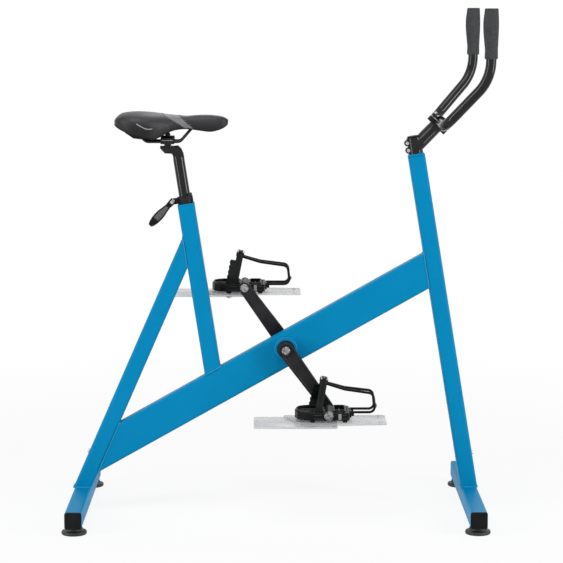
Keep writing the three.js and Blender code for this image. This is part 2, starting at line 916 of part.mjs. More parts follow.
// Toe clip: two rods that rise round the toe and meet at a buckle over the foot
function clipRod(side) {
  const corners = [
    [pedalFront + gap + clipFootThickness / 2, clipBottomSpread, clipBottomRise],
    [clipFront, clipBottomSpread, clipBottomRise],
    [clipFrontTop, clipFrontSpread, clipFrontRise],
    [clipKneeForward, clipKneeSpread, clipKneeRise],
    [clipTopForward, clipTopSpread, clipTopRise],
  ].map(([x, y, z]) => new THREE.Vector3(x, side * y, z));
  const bends = [clipBendRadius, clipBendRadius, clipKneeBendRadius];
  return rodAlong(route(corners, bends, cornerSteps), clipRodRadius);
}

function toeClip() {
  const reach = clipBottomSpread + 2 * clipRodRadius;
  const foot = block(
    [pedalFront + gap, -reach, -clipFootBottom],
    [pedalFront + gap + clipFootThickness, reach, clipFootTop]);
  const barEnd = clipBottomSpread - clipRodRadius;
  const bar = crossPin(clipBarRadius, -barEnd, barEnd, rodSides).translate(clipFront, 0, clipBarRise);
  const buckle = block(
    [-buckleLength / 2, -buckleWidth / 2, strapCrest + buckleRoof - buckleHeight],
    [buckleLength / 2, buckleWidth / 2, strapCrest + buckleRoof]).applyMatrix4(strapPose);
  return cut(join(foot, clipRod(-1), clipRod(1), bar, buckle), strapShape(gap));
}

// Sleeve in the top of the seat tube, from the top of the tube
function seatTubeSleeve() {
  const size = tubeSide - 2 * tubeWall - 2 * gap;
  const insert = upFrom(roundedRectangle(size, size, tubeCorner - tubeWall), -sleeveDepth, 0);
  const neck = post(sleeveNeckRadius, -collarSlot, sleeveNeckHeight, fineSides);
  const bore = post(seatPostRadius + gap, -sleeveDepth - overrun, sleeveNeckHeight + overrun, fineSides);
  const slit = block(
    [-sleeveNeckRadius - overrun, -collarSlot / 2, collarSlot],
    [0, collarSlot / 2, sleeveNeckHeight + overrun]);
  return cut(join(insert, neck), bore, slit);
}

const earMiddle = gap + collarHeight / 2;
const earHalf = collarEarWidth / 2;
const camOffset = earHalf + 2 * gap + skewerWasherThickness + camRadius;

function seatCollar() {
  const inner = sleeveNeckRadius + gap;
  const top = gap + collarHeight;
  const ring = post(inner + collarWall, gap, top, fineSides);
  const ears = acrossFrom([
    new THREE.Vector2(0, earMiddle - collarEarHeight / 2),
    new THREE.Vector2(0, earMiddle + collarEarHeight / 2),
    ...arc(-skewerBack, earMiddle, collarEarHeight / 2, 90, 270, rodSides / 2),
  ], -earHalf, earHalf);
  const slit = block(
    [-skewerBack - collarEarHeight, -collarSlot / 2, 0],
    [0, collarSlot / 2, top + overrun]);
  const hole = crossPin(skewerRadius + gap, -earHalf - overrun, earHalf + overrun, rodSides);
  hole.translate(-skewerBack, 0, earMiddle);
  return cut(join(ring, ears), post(inner, 0, top + overrun, fineSides), slit, hole);
}

// Skewer through the ears: a hexagon head on the left and a washer under the cam on the right
function skewer() {
  const tip = camOffset - camPinRadius - gap;
  const rod = crossPin(skewerRadius, -tip, earHalf + gap + skewerHeadThickness / 2, rodSides);
  const head = crossPin(skewerHeadRadius, earHalf + gap, earHalf + gap + skewerHeadThickness, hexSides);
  const washer = crossPin(
    camRadius, -(earHalf + gap + skewerWasherThickness), -(earHalf + gap), smallSides);
  return join(rod, head, washer);
}

// Rod along X, for the lever's cam
function forwardPin(radius, from, to, sides) {
  return post(radius, from, to, sides).rotateY(Math.PI / 2);
}

// Lever with its pin along X and its length along Z
function quickLever() {
  const root = camPinLength / 2;
  const neck = leverNeckWidth / 2;
  const wide = leverPaddleWidth / 2;
  const half = [
    [root, leverRoot],
    [neck, leverNeckAt],
    [wide, leverPaddleAt],
    [leverTipWidth / 2, leverLength],
  ];
  const mirrored = half.map(([x, z]) => [-x, z]).reverse();
  const paddle = acrossFrom(
    softened([...half, ...mirrored], leverBendRadius), -leverThickness / 2, leverThickness / 2, boltEdge);
  const cheeks = [-1, 1].map((side) =>
    forwardPin(camRadius, ...span(side, root - camCheek, root), smallSides));
  const pinHole = forwardPin(camPinRadius + gap, -root - overrun, root + overrun, rodSides);
  return cut(join(paddle, ...cheeks), pinHole);
}

function camPin() {
  return asSolid(forwardPin(camPinRadius, -camPinLength / 2, camPinLength / 2, rodSides));
}

// Seat post, from the middle of the saddle clamp. The head's outline runs forward and down
const headOutlineShares = [
  [0, 0],
  [0.58, 0],
  [0.74, -0.04],
  [0.88, 0.22],
  [0.96, 0.56],
  [1, 0.92],
  [0.58, 0.92],
  [0.47, 0.63],
  [0.19, 0.61],
  [0, 0.2],
];

const straightDown = -90;

function headSlot(halfWidth, start, reach) {
  const spread = clampTilt + THREE.MathUtils.radToDeg(Math.asin(Math.min(1, reach / start)));
  const far = start + headDepth;
  const first = straightDown - spread;
  const last = straightDown + spread;
  return acrossFrom([
    ...arc(0, -rockerDrop, start, first, last, cornerSteps),
    ...arc(0, -rockerDrop, far, last, first, 1),
  ], -halfWidth, halfWidth);
}

function seatPost() {
  const pose = poseAt(new THREE.Vector3(clampSetback, 0, 0), seatRun);
  const foot = -seatPostTopDrop - seatPostLength;
  const tube = post(seatPostRadius, foot, -seatPostTopDrop, fineSides).applyMatrix4(pose);
  const bore = post(seatPostRadius - seatPostWall, foot - overrun, -seatPostTopDrop - seatPostPlug);
  const outline = headOutlineShares.map(([forward, down]) =>
    new THREE.Vector2(headLength * forward - headRear, -headTopDrop - headDepth * down));
  const head = acrossFrom(outline, -headWidth / 2, headWidth / 2, headEdge);
  const seat = crossPin(rockerRadius + gap, -headWidth, headWidth, fineSides).translate(0, 0, -rockerDrop);
  return cut(
    join(tube, head),
    bore.applyMatrix4(pose),
    seat,
    headSlot(clampBoltRadius + gap, rockerRadius, clampBoltRadius + gap),
    headSlot(clampBoltHeadRadius + gap, clampBoltHeadTop - gap, clampBoltHeadRadius + 2 * gap));
}

// Grooves that the two saddle rails lie in
function railGrooves() {
  return [-1, 1].map((side) => {
    const groove = forwardPin(railRadius + gap, -clampLength, clampLength, rodSides);
    return groove.translate(0, side * railSpread, 0);
  });
}

function clampLowerPlate() {
  const half = clampLength / 2;
  const plate = block([-half, -clampHalfWidth, -clampLowerDepth], [half, clampHalfWidth, -gap]);
  const rocker = crossPin(rockerRadius, -rockerHalfWidth, rockerHalfWidth, fineSides);
  rocker.translate(0, 0, -rockerDrop);
  const above = block([-half, -clampHalfWidth, -gap], [half, clampHalfWidth, rockerRadius]);
  const hole = post(clampBoltRadius + gap, -rockerDrop - rockerRadius - overrun, overrun, rodSides);
  return cut(join(plate, rocker), above, hole, ...railGrooves());
}

function clampUpperPlate() {
  const half = clampLength / 2;
  const crown = clampCrownWidth / 2;
  const section = [
    [-clampHalfWidth, gap],
    [clampHalfWidth, gap],
    [clampHalfWidth, clampUpperEdge],
    [crown, clampUpperHeight],
    [-crown, clampUpperHeight],
    [-clampHalfWidth, clampUpperEdge],
  ].map(([y, z]) => new THREE.Vector2(y, z));
  const hole = post(clampBoltRadius + gap, -overrun, clampUpperHeight + overrun, rodSides);
  return cut(forwardFrom(section, -half, half), hole, ...railGrooves());
}

const nutSeat = clampUpperHeight + gap;
const clampBoltTip = nutSeat + clampNutHeight / 2;

function clampBolt() {
  const seat = -rockerDrop - clampBoltHeadTop;
  const bottom = seat - clampBoltHeadThickness;
  return asSolid(turned([
    [0, bottom],
    [clampBoltHeadRadius, bottom],
    [clampBoltHeadRadius, seat],
    [clampBoltRadius, seat],
    [clampBoltRadius, clampBoltTip],
    [0, clampBoltTip],
  ], rodSides));
}

function clampNut() {
  const bore = clampBoltRadius + gap;
  const roof = clampBoltTip + gap;
  const top = nutSeat + clampNutHeight;
  return asSolid(turned([
    [bore, nutSeat],
    [clampNutRadius, nutSeat],
    [clampNutRadius, nutSeat + clampNutHeight / 2],
    [clampNutRadius * nutShoulderShare, top - boltEdge],
    [clampNutRadius * nutCrownShare, top],
    [0, top],
    [0, roof],
    [bore, roof],
    [bore, nutSeat],
  ], smallSides));
}

// Saddle, from the middle of the clamp at the rails' height. Shares of its length run forward
const clampPlaceShare = 0.473;
const railRearShare = 0.205;
const railFlatRearShare = 0.287;
const railFlatFrontShare = 0.585;
const railFrontShare = 0.697;
const railNoseShare = 0.876;

function saddlePlace(share) {
  return saddleLength * (share - clampPlaceShare);
}

// One wire makes both rails and turns back under the nose
function railWire(radius) {
  const half = [
    [saddlePlace(railRearShare), railRearSpread, railRearRise],
    [saddlePlace(railFlatRearShare), railSpread, 0],
    [saddlePlace(railFlatFrontShare), railSpread, 0],
    [saddlePlace(railFrontShare), railFrontSpread, railFrontRise],
    [saddlePlace(railNoseShare), railNoseSpread, railFrontRise],
  ];
  const mirrored = half.map(([x, y, z]) => [x, -y, z]).reverse();
  const corners = [...half, ...mirrored].map(([x, y, z]) => new THREE.Vector3(x, y, z));
  const bends = [railBendRadius, railBendRadius, railBendRadius, railNoseBendRadius];
  return rodAlong(route(corners, [...bends, ...[...bends].reverse()], cornerSteps), radius);
}

// Each row: place along the saddle, half width, top, lower edge and shell underside
const saddleShares = [
  [0, 0.5, 0.78, 0.6, 0.6],
  [0.02, 0.66, 0.86, 0.53, 0.55],
  [0.06, 0.82, 0.93, 0.45, 0.5],
  [0.11, 0.93, 0.975, 0.36, 0.3],
  [0.18, 1, 1, 0.26, 0.13],
  [0.25, 1, 0.995, 0.19, 0.1],
  [0.31, 0.95, 0.975, 0.13, 0.26],
  [0.36, 0.86, 0.95, 0.11, 0.41],
  [0.42, 0.71, 0.915, 0.2, 0.42],
  [0.49, 0.55, 0.875, 0.34, 0.42],
  [0.57, 0.43, 0.86, 0.42, 0.42],
  [0.66, 0.35, 0.865, 0.43, 0.42],
  [0.76, 0.31, 0.89, 0.38, 0.41],
  [0.85, 0.29, 0.895, 0.34, 0.41],
  [0.92, 0.26, 0.87, 0.39, 0.46],
  [0.97, 0.2, 0.83, 0.47, 0.5],
  [1, 0.11, 0.76, 0.56, 0.56],
];
const shoulderShare = 0.45;

// Points of the crown: share of the half width, and of the rise from the shoulder to the top
const crownShares = [
  [0.196, 0.994],
  [0.464, 0.946],
  [0.672, 0.85],
  [0.831, 0.707],
  [0.939, 0.51],
  [0.993, 0.24],
];
const tuckShare = 0.92;
const recessShare = 0.86;
const shellTuckShare = 0.85;

// Skin stretched over rings of [y, z] points, one ring for each place along the saddle
function lofted(places, rings) {
  const sides = rings[0].length;
  const runs = rings.length - 1;
  const skin = new THREE.CylinderGeometry(1, 1, runs, sides, runs);
  const position = skin.attributes.position;
  for (let i = 0; i < position.count; i += 1) {
    const ring = rings[Math.round(position.getY(i) + runs / 2)];
    const place = places[Math.round(position.getY(i) + runs / 2)];
    const turn = Math.atan2(position.getX(i), position.getZ(i)) / (2 * Math.PI);
    const onAxis = Math.hypot(position.getX(i), position.getZ(i)) < 1 / 2;
    const middle = ring.reduce((sum, [, z]) => sum + z / sides, 0);
    const [y, z] = onAxis ? [0, middle] : ring[(Math.round(turn * sides) + sides) % sides];
    position.setXYZ(i, place, y, z);
  }
  return solidOf(skin);
}

function mirroredRing(rightSide) {
  return [...rightSide, ...rightSide.map(([y, z]) => [-y, z]).reverse()];
}

function coverRing([, widthShare, topShare, skirtShare]) {
  const half = (saddleWidth / 2) * widthShare;
  const top = saddleCrown * topShare;
  const skirt = saddleCrown * skirtShare;
  const shoulder = skirt + (top - skirt) * shoulderShare;
  const recess = Math.max(skirt + saddleLip, saddleRecess);
  const crown = crownShares.map(([outward, rise]) => [half * outward, shoulder + (top - shoulder) * rise]);
  return mirroredRing([
    ...crown,
    [half * tuckShare, skirt],
    [half * tuckShare - saddleSkirt, skirt],
    [half * recessShare - saddleSkirt, recess],
  ]);
}

function shellRing([, widthShare, , , undersideShare]) {
  const half = (saddleWidth / 2) * widthShare * recessShare - saddleSkirt - 2 * boltEdge;
  const underside = saddleCrown * undersideShare;
  const top = saddleRecess - gap;
  return mirroredRing([
    [half / 2, top],
    [half, top],
    [half * shellTuckShare, underside + saddleLip],
    [half * shellTuckShare - saddleLip, underside],
  ]);
}

function saddleCover() {
  return lofted(saddleShares.map(([place]) => saddlePlace(place)), saddleShares.map(coverRing));
}

function saddleShell() {
  const rows = saddleShares.slice(2, -2);
  const shell = lofted(rows.map(([place]) => saddlePlace(place)), rows.map(shellRing));
  return cut(shell, railWire(railRadius + gap));
}

// Stem, from the top of the post
function steererStub() {
  const plate = upFrom(roundedRectangle(tubeSide, tubeSide, tubeCorner), -2 * postPlate, 0, postPlateEdge);
  const below = block([-tubeSide, -tubeSide, -3 * postPlate], [tubeSide, tubeSide, gap - postPlate]);
  const steerer = post(steererRadius, -postPlateEdge, stemClampHeight, fineSides);
  const bore = post(steererRadius - steererWall, -postPlate - overrun, stemClampHeight + overrun);
  return cut(join(cut(plate, below), steerer), bore);
}

function steererCap() {
  const seat = stemClampHeight + gap;
  const insert = steererRadius - steererWall - gap;
  return asSolid(turned([
    [0, seat - capPlugDepth],
    [insert, seat - capPlugDepth],
    [insert, seat],
    [capRadius, seat],
    [capRadius, seat + capThickness - capEdgeRound],
    [capRadius - capEdgeRound, seat + capThickness],
    [0, seat + capThickness],
  ]));
}

// Bar clamp: its X runs away from the stem and its Z is up along the split
const barCentre = new THREE.Vector3(stemReach, 0, stemRise);
const neckRoot = new THREE.Vector3(0, 0, stemNeckRise);
const neckRun = barCentre.clone().sub(neckRoot).normalize();
const barClampPose = poseAt(barCentre, frontOf(neckRun).negate());

function barClampHalf(lugFrom, lugTo) {
  const height = 2 * (barLugOffset + barLugRadius);
  const lugs = forwardFrom(roundedRectangle(barLugWidth, height, barLugRadius), lugFrom, lugTo);
  const ring = crossPin(barClampRadius, -barClampWidth / 2, barClampWidth / 2, fineSides);
  return join(ring, lugs);
}

function barClampHoles() {
  const bore = crossPin(barRadius + gap, -barClampWidth, barClampWidth, fineSides);
  const boltHoles = [-1, 1].map((side) => {
    const reach = barLugLength + faceLugLength;
    const hole = forwardPin(stemBoltRadius + gap, -reach, reach, rodSides);
    return hole.translate(0, 0, side * barLugOffset);
  });
  return [bore, ...boltHoles];
}

function beyondSplit(side) {
  const half = trimReach / 2;
  const near = (-side * barClampSplit) / 2;
  return block([Math.min(near, side * half), -half, -half], [Math.max(near, side * half), half, half]);
}

function stemBody() {
  const neckLength = neckRoot.distanceTo(barCentre);
  const neck = turned(
    [[0, 0], [stemNeckRadius, 0], [stemTipRadius, neckLength], [0, neckLength]]);
  const ears = [pinchLow, pinchHigh].flatMap((z) => [
    crossPin(stemEarRadius, -stemEarHalfWidth, stemEarHalfWidth, smallSides).translate(-stemEarBack, 0, z),
    block([-stemEarBack, -stemEarHalfWidth, z - stemEarRadius], [0, stemEarHalfWidth, z + stemEarRadius]),
  ]);
  const earFace = stemEarHalfWidth + overrun;
  const pinchHoles = [pinchLow, pinchHigh].flatMap((z) => [
    crossPin(stemBoltRadius + gap, -earFace, earFace, rodSides),
    crossPin(stemBoltHeadRadius + gap, -earFace, stemBoltHeadLength - stemEarHalfWidth, smallSides),
  ].map((hole) => hole.translate(-stemEarBack, 0, z)));
  const slot = block(
    [-stemEarBack - stemEarRadius - overrun, -stemSlot / 2, 0],
    [0, stemSlot / 2, stemClampHeight + overrun]);
  const frontSolid = geometryOf(cut(join(barClampHalf(-barLugLength, 0)), beyondSplit(1)));
  const barHoles = barClampHoles().map((hole) => hole.applyMatrix4(barClampPose));
  const trimmedNeck = cut(
    neck.applyMatrix4(poseAt(neckRoot, neckRun)), beyondSplit(1).applyMatrix4(barClampPose));
  return cut(
    join(
      post(stemClampRadius, gap, stemClampHeight, fineSides),
      ...ears,
      trimmedNeck,
      frontSolid.applyMatrix4(barClampPose)),
    post(steererRadius + gap, 0, stemClampHeight + overrun, fineSides),
    post(capRadius + gap, stemClampHeight, stemClampHeight + 3 * capThickness),
    slot,
    ...pinchHoles,
    ...barHoles);
}

function stemFaceplate() {
  return cut(barClampHalf(0, faceLugLength), beyondSplit(-1), ...barClampHoles());
}

// Cap screw along Z: its head stands on `seat` and its tip is `length` below
function capScrew(seat, length) {
  const top = seat + stemBoltHeadLength;
  return turned([
    [0, seat - length],
    [stemBoltRadius, seat - length],
    [stemBoltRadius, seat],
    [stemBoltHeadRadius, seat],
    [stemBoltHeadRadius, top],
    [stemBoltSocket, top],
    [stemBoltSocket, top - stemBoltSocketDepth],
    [0, top - stemBoltSocketDepth],
  ], rodSides);
}

function pinchBolt() {
  const seat = stemEarHalfWidth - stemBoltHeadLength + gap;
  return asSolid(capScrew(seat, seat + stemEarHalfWidth - stemBoltEnd).rotateX(Math.PI / 2));
}

function faceplateBolt() {
  const seat = faceLugLength + gap;
  return asSolid(capScrew(seat, seat + barLugLength - stemBoltEnd).rotateY(Math.PI / 2));
}

// Handlebar, from the middle of the bar clamp
function handlebar() {
  const half = [[barReach, barSpread, barTop], [barReach, barSpread, barKneeRise], [0, barElbow, 0]];
  const mirrored = half.map(([x, y, z]) => [x, -y, z]).reverse();
  const corners = [...half, ...mirrored].map(([x, y, z]) => new THREE.Vector3(x, y, z));
  const bends = [barKneeBendRadius, barElbowBendRadius];
  const stations = route(corners, [...bends, ...[...bends].reverse()]);
  return solidOf(pipeAlong(stations, barRadius, barRadius - barWall, smallSides));
}

// Foam grip: [place up the grip, share of the way from the foot radius to the belly radius]
const gripShares = [[0.12, 0.05], [0.3, 0.4], [0.5, 0.85], [0.66, 1], [0.8, 0.92]];

function grip() {
  const bore = barRadius + gap;
  const length = gripTop - gripBottom;
  const swell = gripShares.map(([place, swellShare]) => [
    gripFootRadius + (gripBellyRadius - gripFootRadius) * swellShare,
    gripBottom + length * place,
  ]);
  return asSolid(turned([
    [bore, gripBottom],
    [gripFootRadius, gripBottom],
    ...swell,
    [gripHeadRadius, gripTop - gripEdge],
    [gripHeadRadius - gripEdge, gripTop],
    [0, gripTop],
    [0, barTop + gap],
    [bore, barTop + gap],
    [bore, gripBottom],
  ]));
}

// Places a mesh or a group
function placed(object, x, y, z) {
  object.position.set(x, y, z);
  return object;
}

function turnedBy(object, lean) {
  object.rotation.y = -degrees(lean);
  return object;
}

const sides = { right: -1, left: 1 };
const ends = { front: 1, rear: -1 };

function base() {
  const capRise = footHeight + tubeSide / 2;
  const padSpread = baseWidth / 2 - footInset;
  const parts = Object.entries(ends).flatMap(([end, way]) => {
    const x = (way * baseSpan) / 2;
    const bar = piece(`${end}_base_bar`, baseBar(), bluePaint);
    const corners = Object.entries(sides).flatMap(([name, side]) => [
      placed(piece(`end_cap_${end}_${name}`, endCap(side), blackPlastic), x, 0, capRise),
      placed(piece(`foot_pad_${end}_${name}`, footPad(), blackRubber), x, side * padSpread, 0),
    ]);
    return [placed(bar, x, 0, capRise), ...corners];
  });
  return group(...parts);
}

function frame() {
  return group(
    piece('main_beam', mainBeam(), bluePaint),
    piece('seat_tube', seatTube(), bluePaint),
    piece('rear_leg', rearLeg(), bluePaint),
    piece('front_post', frontPost(), bluePaint),
    piece('leg_plug', plug(legFoot, legRun, -1), brightSteel),
    piece('post_plug', plug(postFoot, postRun, 1), brightSteel));
}

function crankset() {
  const turning = group(
    piece('crank_spindle', crankSpindle(), brightSteel),
    ...Object.entries(sides).flatMap(([name, side]) => [
      piece(`crank_arm_${name}`, crankArm(side, side), blackAlloy),
      piece(`crank_bolt_${name}`, crankBolt(side), brightSteel),
      placed(piece(`pedal_axle_${name}`, pedalAxle(side), brightSteel), 0, 0, side * crankLength),
    ]));
  return group(
    piece('bottom_bracket_shell', bracketShell(), bluePaint),
    piece('bearing_cup_right', bearingCup(sides.right), blackAlloy),
    piece('bearing_cup_left', bearingCup(sides.left), blackAlloy),
    turnedBy(turning, crankAngle));
}

function pedal(name, side) {
  const crankRun = leaning(crankAngle).multiplyScalar(side * crankLength);
  const parts = group(
    piece(`pedal_body_${name}`, pedalBody(), blackPlastic),
    piece(`toe_clip_${name}`, toeClip(), blackPlastic),
    piece(`foot_strap_${name}`, footStrap(side), blackRubber),
    piece(`blade_front_${name}`, frontBlade(side), clearBlade),
    piece(`blade_rear_${name}`, rearBlade(side), clearBlade));
  return placed(
    parts, bracket.x + crankRun.x, side * (pedalOffset + pedalWidth / 2), bracket.z + crankRun.z);
}

function seatTubeTop() {
  const lever = group(
    piece('qr_lever', quickLever(), blackPlastic),
    piece('qr_cam_pin', camPin(), brightSteel));
  const lead = leaning(seatLean).multiplyScalar(earMiddle);
  const back = frontOf(seatRun).multiplyScalar(-skewerBack);
  placed(lever, seatTop.x + lead.x + back.x, -camOffset, seatTop.z + lead.z + back.z);
  const top = group(
    piece('seat_tube_sleeve', seatTubeSleeve(), blackPlastic),
    piece('seat_collar', seatCollar(), blackAlloy),
    placed(piece('qr_bolt', skewer(), brightSteel), -skewerBack, 0, earMiddle));
  return group(
    placed(turnedBy(top, seatLean), seatTop.x, 0, seatTop.z),
    turnedBy(lever, leverLean));
}

function saddle() {
  const parts = group(
    piece('seat_post', seatPost(), blackAlloy),
    piece('clamp_lower_plate', clampLowerPlate(), blackAlloy),
    piece('clamp_upper_plate', clampUpperPlate(), blackAlloy),
    piece('clamp_bolt', clampBolt(), blackAlloy),
    piece('clamp_nut', clampNut(), blackAlloy),
    piece('saddle_rails', railWire(railRadius), blackAlloy),
    piece('saddle_shell', saddleShell(), blackPlastic),
    piece('saddle_cover', saddleCover(), saddleVinyl));
  return placed(parts, clampCentre.x, 0, clampCentre.z);
}

function steering() {
  const clampParts = group(
    piece('stem_faceplate', stemFaceplate(), blackAlloy),
    placed(piece('faceplate_bolt_upper', faceplateBolt(), brightSteel), 0, 0, barLugOffset),
    placed(piece('faceplate_bolt_lower', faceplateBolt(), brightSteel), 0, 0, -barLugOffset));
  const neckAngle = THREE.MathUtils.radToDeg(Math.atan2(neckRun.z, neckRun.x));
  const head = group(
    piece('steerer_stub', steererStub(), bluePaint),
    piece('stem_body', stemBody(), blackAlloy),
    piece('steerer_cap', steererCap(), blackAlloy),
    placed(piece('pinch_bolt_lower', pinchBolt(), brightSteel), -stemEarBack, 0, pinchLow),
    placed(piece('pinch_bolt_upper', pinchBolt(), brightSteel), -stemEarBack, 0, pinchHigh),
    placed(turnedBy(clampParts, neckAngle), barCentre.x, 0, barCentre.z));
  return placed(turnedBy(head, postLean), postTop.x, 0, postTop.z);
}

const handlebarCentre = barCentre.clone().applyMatrix4(poseAt(postTop, postRun));

function bars() {
  const parts = group(
    piece('handlebar', handlebar(), blackAlloy),
    placed(piece('grip_right', grip(), greyFoam), barReach, -barSpread, 0),
    placed(piece('grip_left', grip(), greyFoam), barReach, barSpread, 0));
  return placed(parts, handlebarCentre.x, 0, handlebarCentre.z);
}

const bike = group(
  base(),
  frame(),
  placed(crankset(), bracket.x, 0, bracket.z),
  pedal('right', sides.right),
  pedal('left', sides.left),
  seatTubeTop(),
  saddle(),
  steering(),
  bars());

// The origin is under the middle of the overall length, from the rear feet to the grips
const frontEnd = handlebarCentre.x + barReach + gripBellyRadius;
const rearEnd = -baseSpan / 2 - footRadius;
bike.position.x = -(frontEnd + rearEnd) / 2;

export default bike;
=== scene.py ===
# Water exercise bike on white paper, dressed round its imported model.
# Lengths are millimetres unless a name says otherwise: MM turns them into Blender's metres.
import json
import math

import bmesh
import bpy
from mathutils import Matrix, Vector
from mathutils.bvhtree import BVHTree


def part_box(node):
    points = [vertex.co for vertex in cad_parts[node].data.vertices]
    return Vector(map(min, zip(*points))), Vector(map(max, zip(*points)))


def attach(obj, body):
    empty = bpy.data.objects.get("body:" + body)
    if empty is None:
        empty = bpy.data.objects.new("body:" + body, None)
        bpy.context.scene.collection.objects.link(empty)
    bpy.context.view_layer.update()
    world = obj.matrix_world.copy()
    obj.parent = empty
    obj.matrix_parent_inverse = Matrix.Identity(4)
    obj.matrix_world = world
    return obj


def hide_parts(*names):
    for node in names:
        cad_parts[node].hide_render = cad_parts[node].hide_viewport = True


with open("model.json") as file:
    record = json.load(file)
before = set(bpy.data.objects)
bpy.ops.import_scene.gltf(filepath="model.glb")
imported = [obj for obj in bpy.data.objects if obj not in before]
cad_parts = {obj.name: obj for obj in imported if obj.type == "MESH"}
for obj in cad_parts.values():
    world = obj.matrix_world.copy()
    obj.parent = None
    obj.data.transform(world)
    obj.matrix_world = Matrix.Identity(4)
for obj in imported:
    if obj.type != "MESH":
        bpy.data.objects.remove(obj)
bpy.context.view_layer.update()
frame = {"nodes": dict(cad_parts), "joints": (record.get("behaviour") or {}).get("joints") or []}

# Studio
# White paper under the bike and a white room round it, with wide soft lamps above and behind,
# two tall strip lamps that draw highlights on tubes, and a camera five metres to the right.
MM = 0.001
scene = bpy.context.scene
scene.view_settings.view_transform = "Standard"


class Signal:
    """A socket of a node tree that takes part in Python's arithmetic."""

    def __init__(self, tree, socket=None):
        self.tree = tree
        self.socket = socket

    def node(self, kind, settings=None, inputs=None, output=0):
        """Adds a node, settings first, fills its sockets and gives one of its outputs."""
        made = self.tree.nodes.new("ShaderNode" + kind)
        for name, value in (settings or {}).items():
            setattr(made, name, value)
        for name, value in (inputs or {}).items():
            if isinstance(value, Signal):
                self.tree.links.new(value.socket, made.inputs[name])
            else:
                made.inputs[name].default_value = value
        return Signal(self.tree, made.outputs[output])

    def math(self, operation, *others):
        inputs = {place: value for place, value in enumerate((self, *others))}
        return self.node("Math", {"operation": operation}, inputs)

    def __add__(self, other):
        return self.math("ADD", other)

    __radd__ = __add__

    def __mul__(self, other):
        return self.math("MULTIPLY", other)

    __rmul__ = __mul__

    def __sub__(self, other):
        return self.math("SUBTRACT", other)

    def __rsub__(self, other):
        return self.node("Math", {"operation": "SUBTRACT"}, {0: other, 1: self})

    def axis(self, place):
        return self.node("SeparateXYZ", {}, {0: self}, place)

    def ranged(self, low, high, start=0.0, end=1.0):
        settings = {"interpolation_type": "SMOOTHSTEP"}
        return self.node("MapRange", settings, {0: self, 1: low, 2: high, 3: start, 4: end})

    def blend(self, first, second):
        """Colour that goes from the first to the second as this value goes from 0 to 1."""
        settings = {"data_type": "RGBA"}
        return self.node("Mix", settings, {0: self, 6: first, 7: second}, 2)

    def noise(self, scale, detail=2.0, stretch=(1, 1, 1)):
        spot = self.node("VectorMath", {"operation": "MULTIPLY"}, {0: self, 1: stretch})
        return self.node("TexNoise", {}, {"Vector": spot, "Scale": scale, "Detail": detail})

    def cells(self, scale):
        return self.node("TexVoronoi", {"feature": "F1"}, {"Vector": self, "Scale": scale})

    def bump(self, depth, strength=1.0):
        inputs = {"Height": self, "Distance": depth * MM, "Strength": strength}
        return self.node("Bump", {}, inputs)


def open_rays(start):
    """1 for what the eye, mirrors and clear sheets see, 0 for light that falls on the bike."""
    kinds = ("Is Camera Ray", "Is Glossy Ray", "Is Transmission Ray")
    seen, mirrored, through = (start.node("LightPath", {}, {}, kind) for kind in kinds)
    return (seen + mirrored + through).math("MINIMUM", 1.0)


def paper():
    """White for the eye and mirrors, over plain paper that holds shadows near the bike."""
    near_glow, fade_start, fade_end = 0.88, 0.9, 2.6
    made = bpy.data.materials.new("white_paper")
    made.use_nodes = True
    tree = made.node_tree
    tree.nodes.clear()
    start = Signal(tree)
    spot = start.node("TexCoord", {}, {}, "Object")
    tone = spot.noise(60.0, 4.0).blend((0.88, 0.885, 0.89, 1), (0.92, 0.92, 0.93, 1))
    far = spot.node("VectorMath", {"operation": "LENGTH"}, {0: spot}, 1).ranged(fade_start, fade_end)
    glow_share = open_rays(start) * (far * (1 - near_glow) + near_glow)
    matt = start.node("BsdfDiffuse", {}, {"Color": tone})
    glow = start.node("Emission", {}, {"Color": (1, 1, 1, 1), "Strength": 1.0})
    mixed = start.node("MixShader", {}, {0: glow_share, 1: matt, 2: glow})
    end = tree.nodes.new("ShaderNodeOutputMaterial")
    tree.links.new(mixed.socket, end.inputs["Surface"])
    return made


def studio():
    """Room, floor and lamps; their places and sizes are metres."""
    room_level, floor_half = 0.24, 400
    room = bpy.data.worlds.new("white_room")
    scene.world = room
    room.use_nodes = True
    strength = open_rays(Signal(room.node_tree)) * (1 - room_level) + room_level
    shader = room.node_tree.nodes["Background"]
    shader.inputs["Color"].default_value = (1, 1, 1, 1)
    room.node_tree.links.new(strength.socket, shader.inputs["Strength"])
    floor = bpy.data.meshes.new("floor")
    corners = [(x * floor_half, y * floor_half, 0) for x, y in ((-1, -1), (1, -1), (1, 1), (-1, 1))]
    floor.from_pydata(corners, [], [(0, 1, 2, 3)])
    floor.materials.append(paper())
    ground = bpy.data.objects.new("floor", floor)
    scene.collection.objects.link(ground)
    # Each lamp: its place, the point it faces, its width and height, and its watts
    lamps = {
        "top_lamp": ((-0.7, -1.4, 3.6), (0.0, 0.0, 0.6), (2.2, 2.2), 52),
        "back_lamp": ((0.6, 2.6, 2.6), (0.0, 0.0, 0.7), (1.8, 1.8), 20),
        "left_strip": ((-2.7, -1.6, 1.1), (0.0, 0.0, 0.8), (0.5, 2.4), 46),
        "right_strip": ((2.8, -1.5, 1.2), (0.0, 0.0, 0.8), (0.5, 2.4), 56),
    }
    for name, (place, aim, size, watts) in lamps.items():
        light = bpy.data.lights.new(name, "AREA")
        light.shape = "RECTANGLE"
        light.size, light.size_y = size
        light.energy = watts
        lamp = bpy.data.objects.new(name, light)
        lamp.location = place
        lamp.rotation_euler = (Vector(aim) - Vector(place)).to_track_quat("-Z", "Y").to_euler()
        scene.collection.objects.link(lamp)


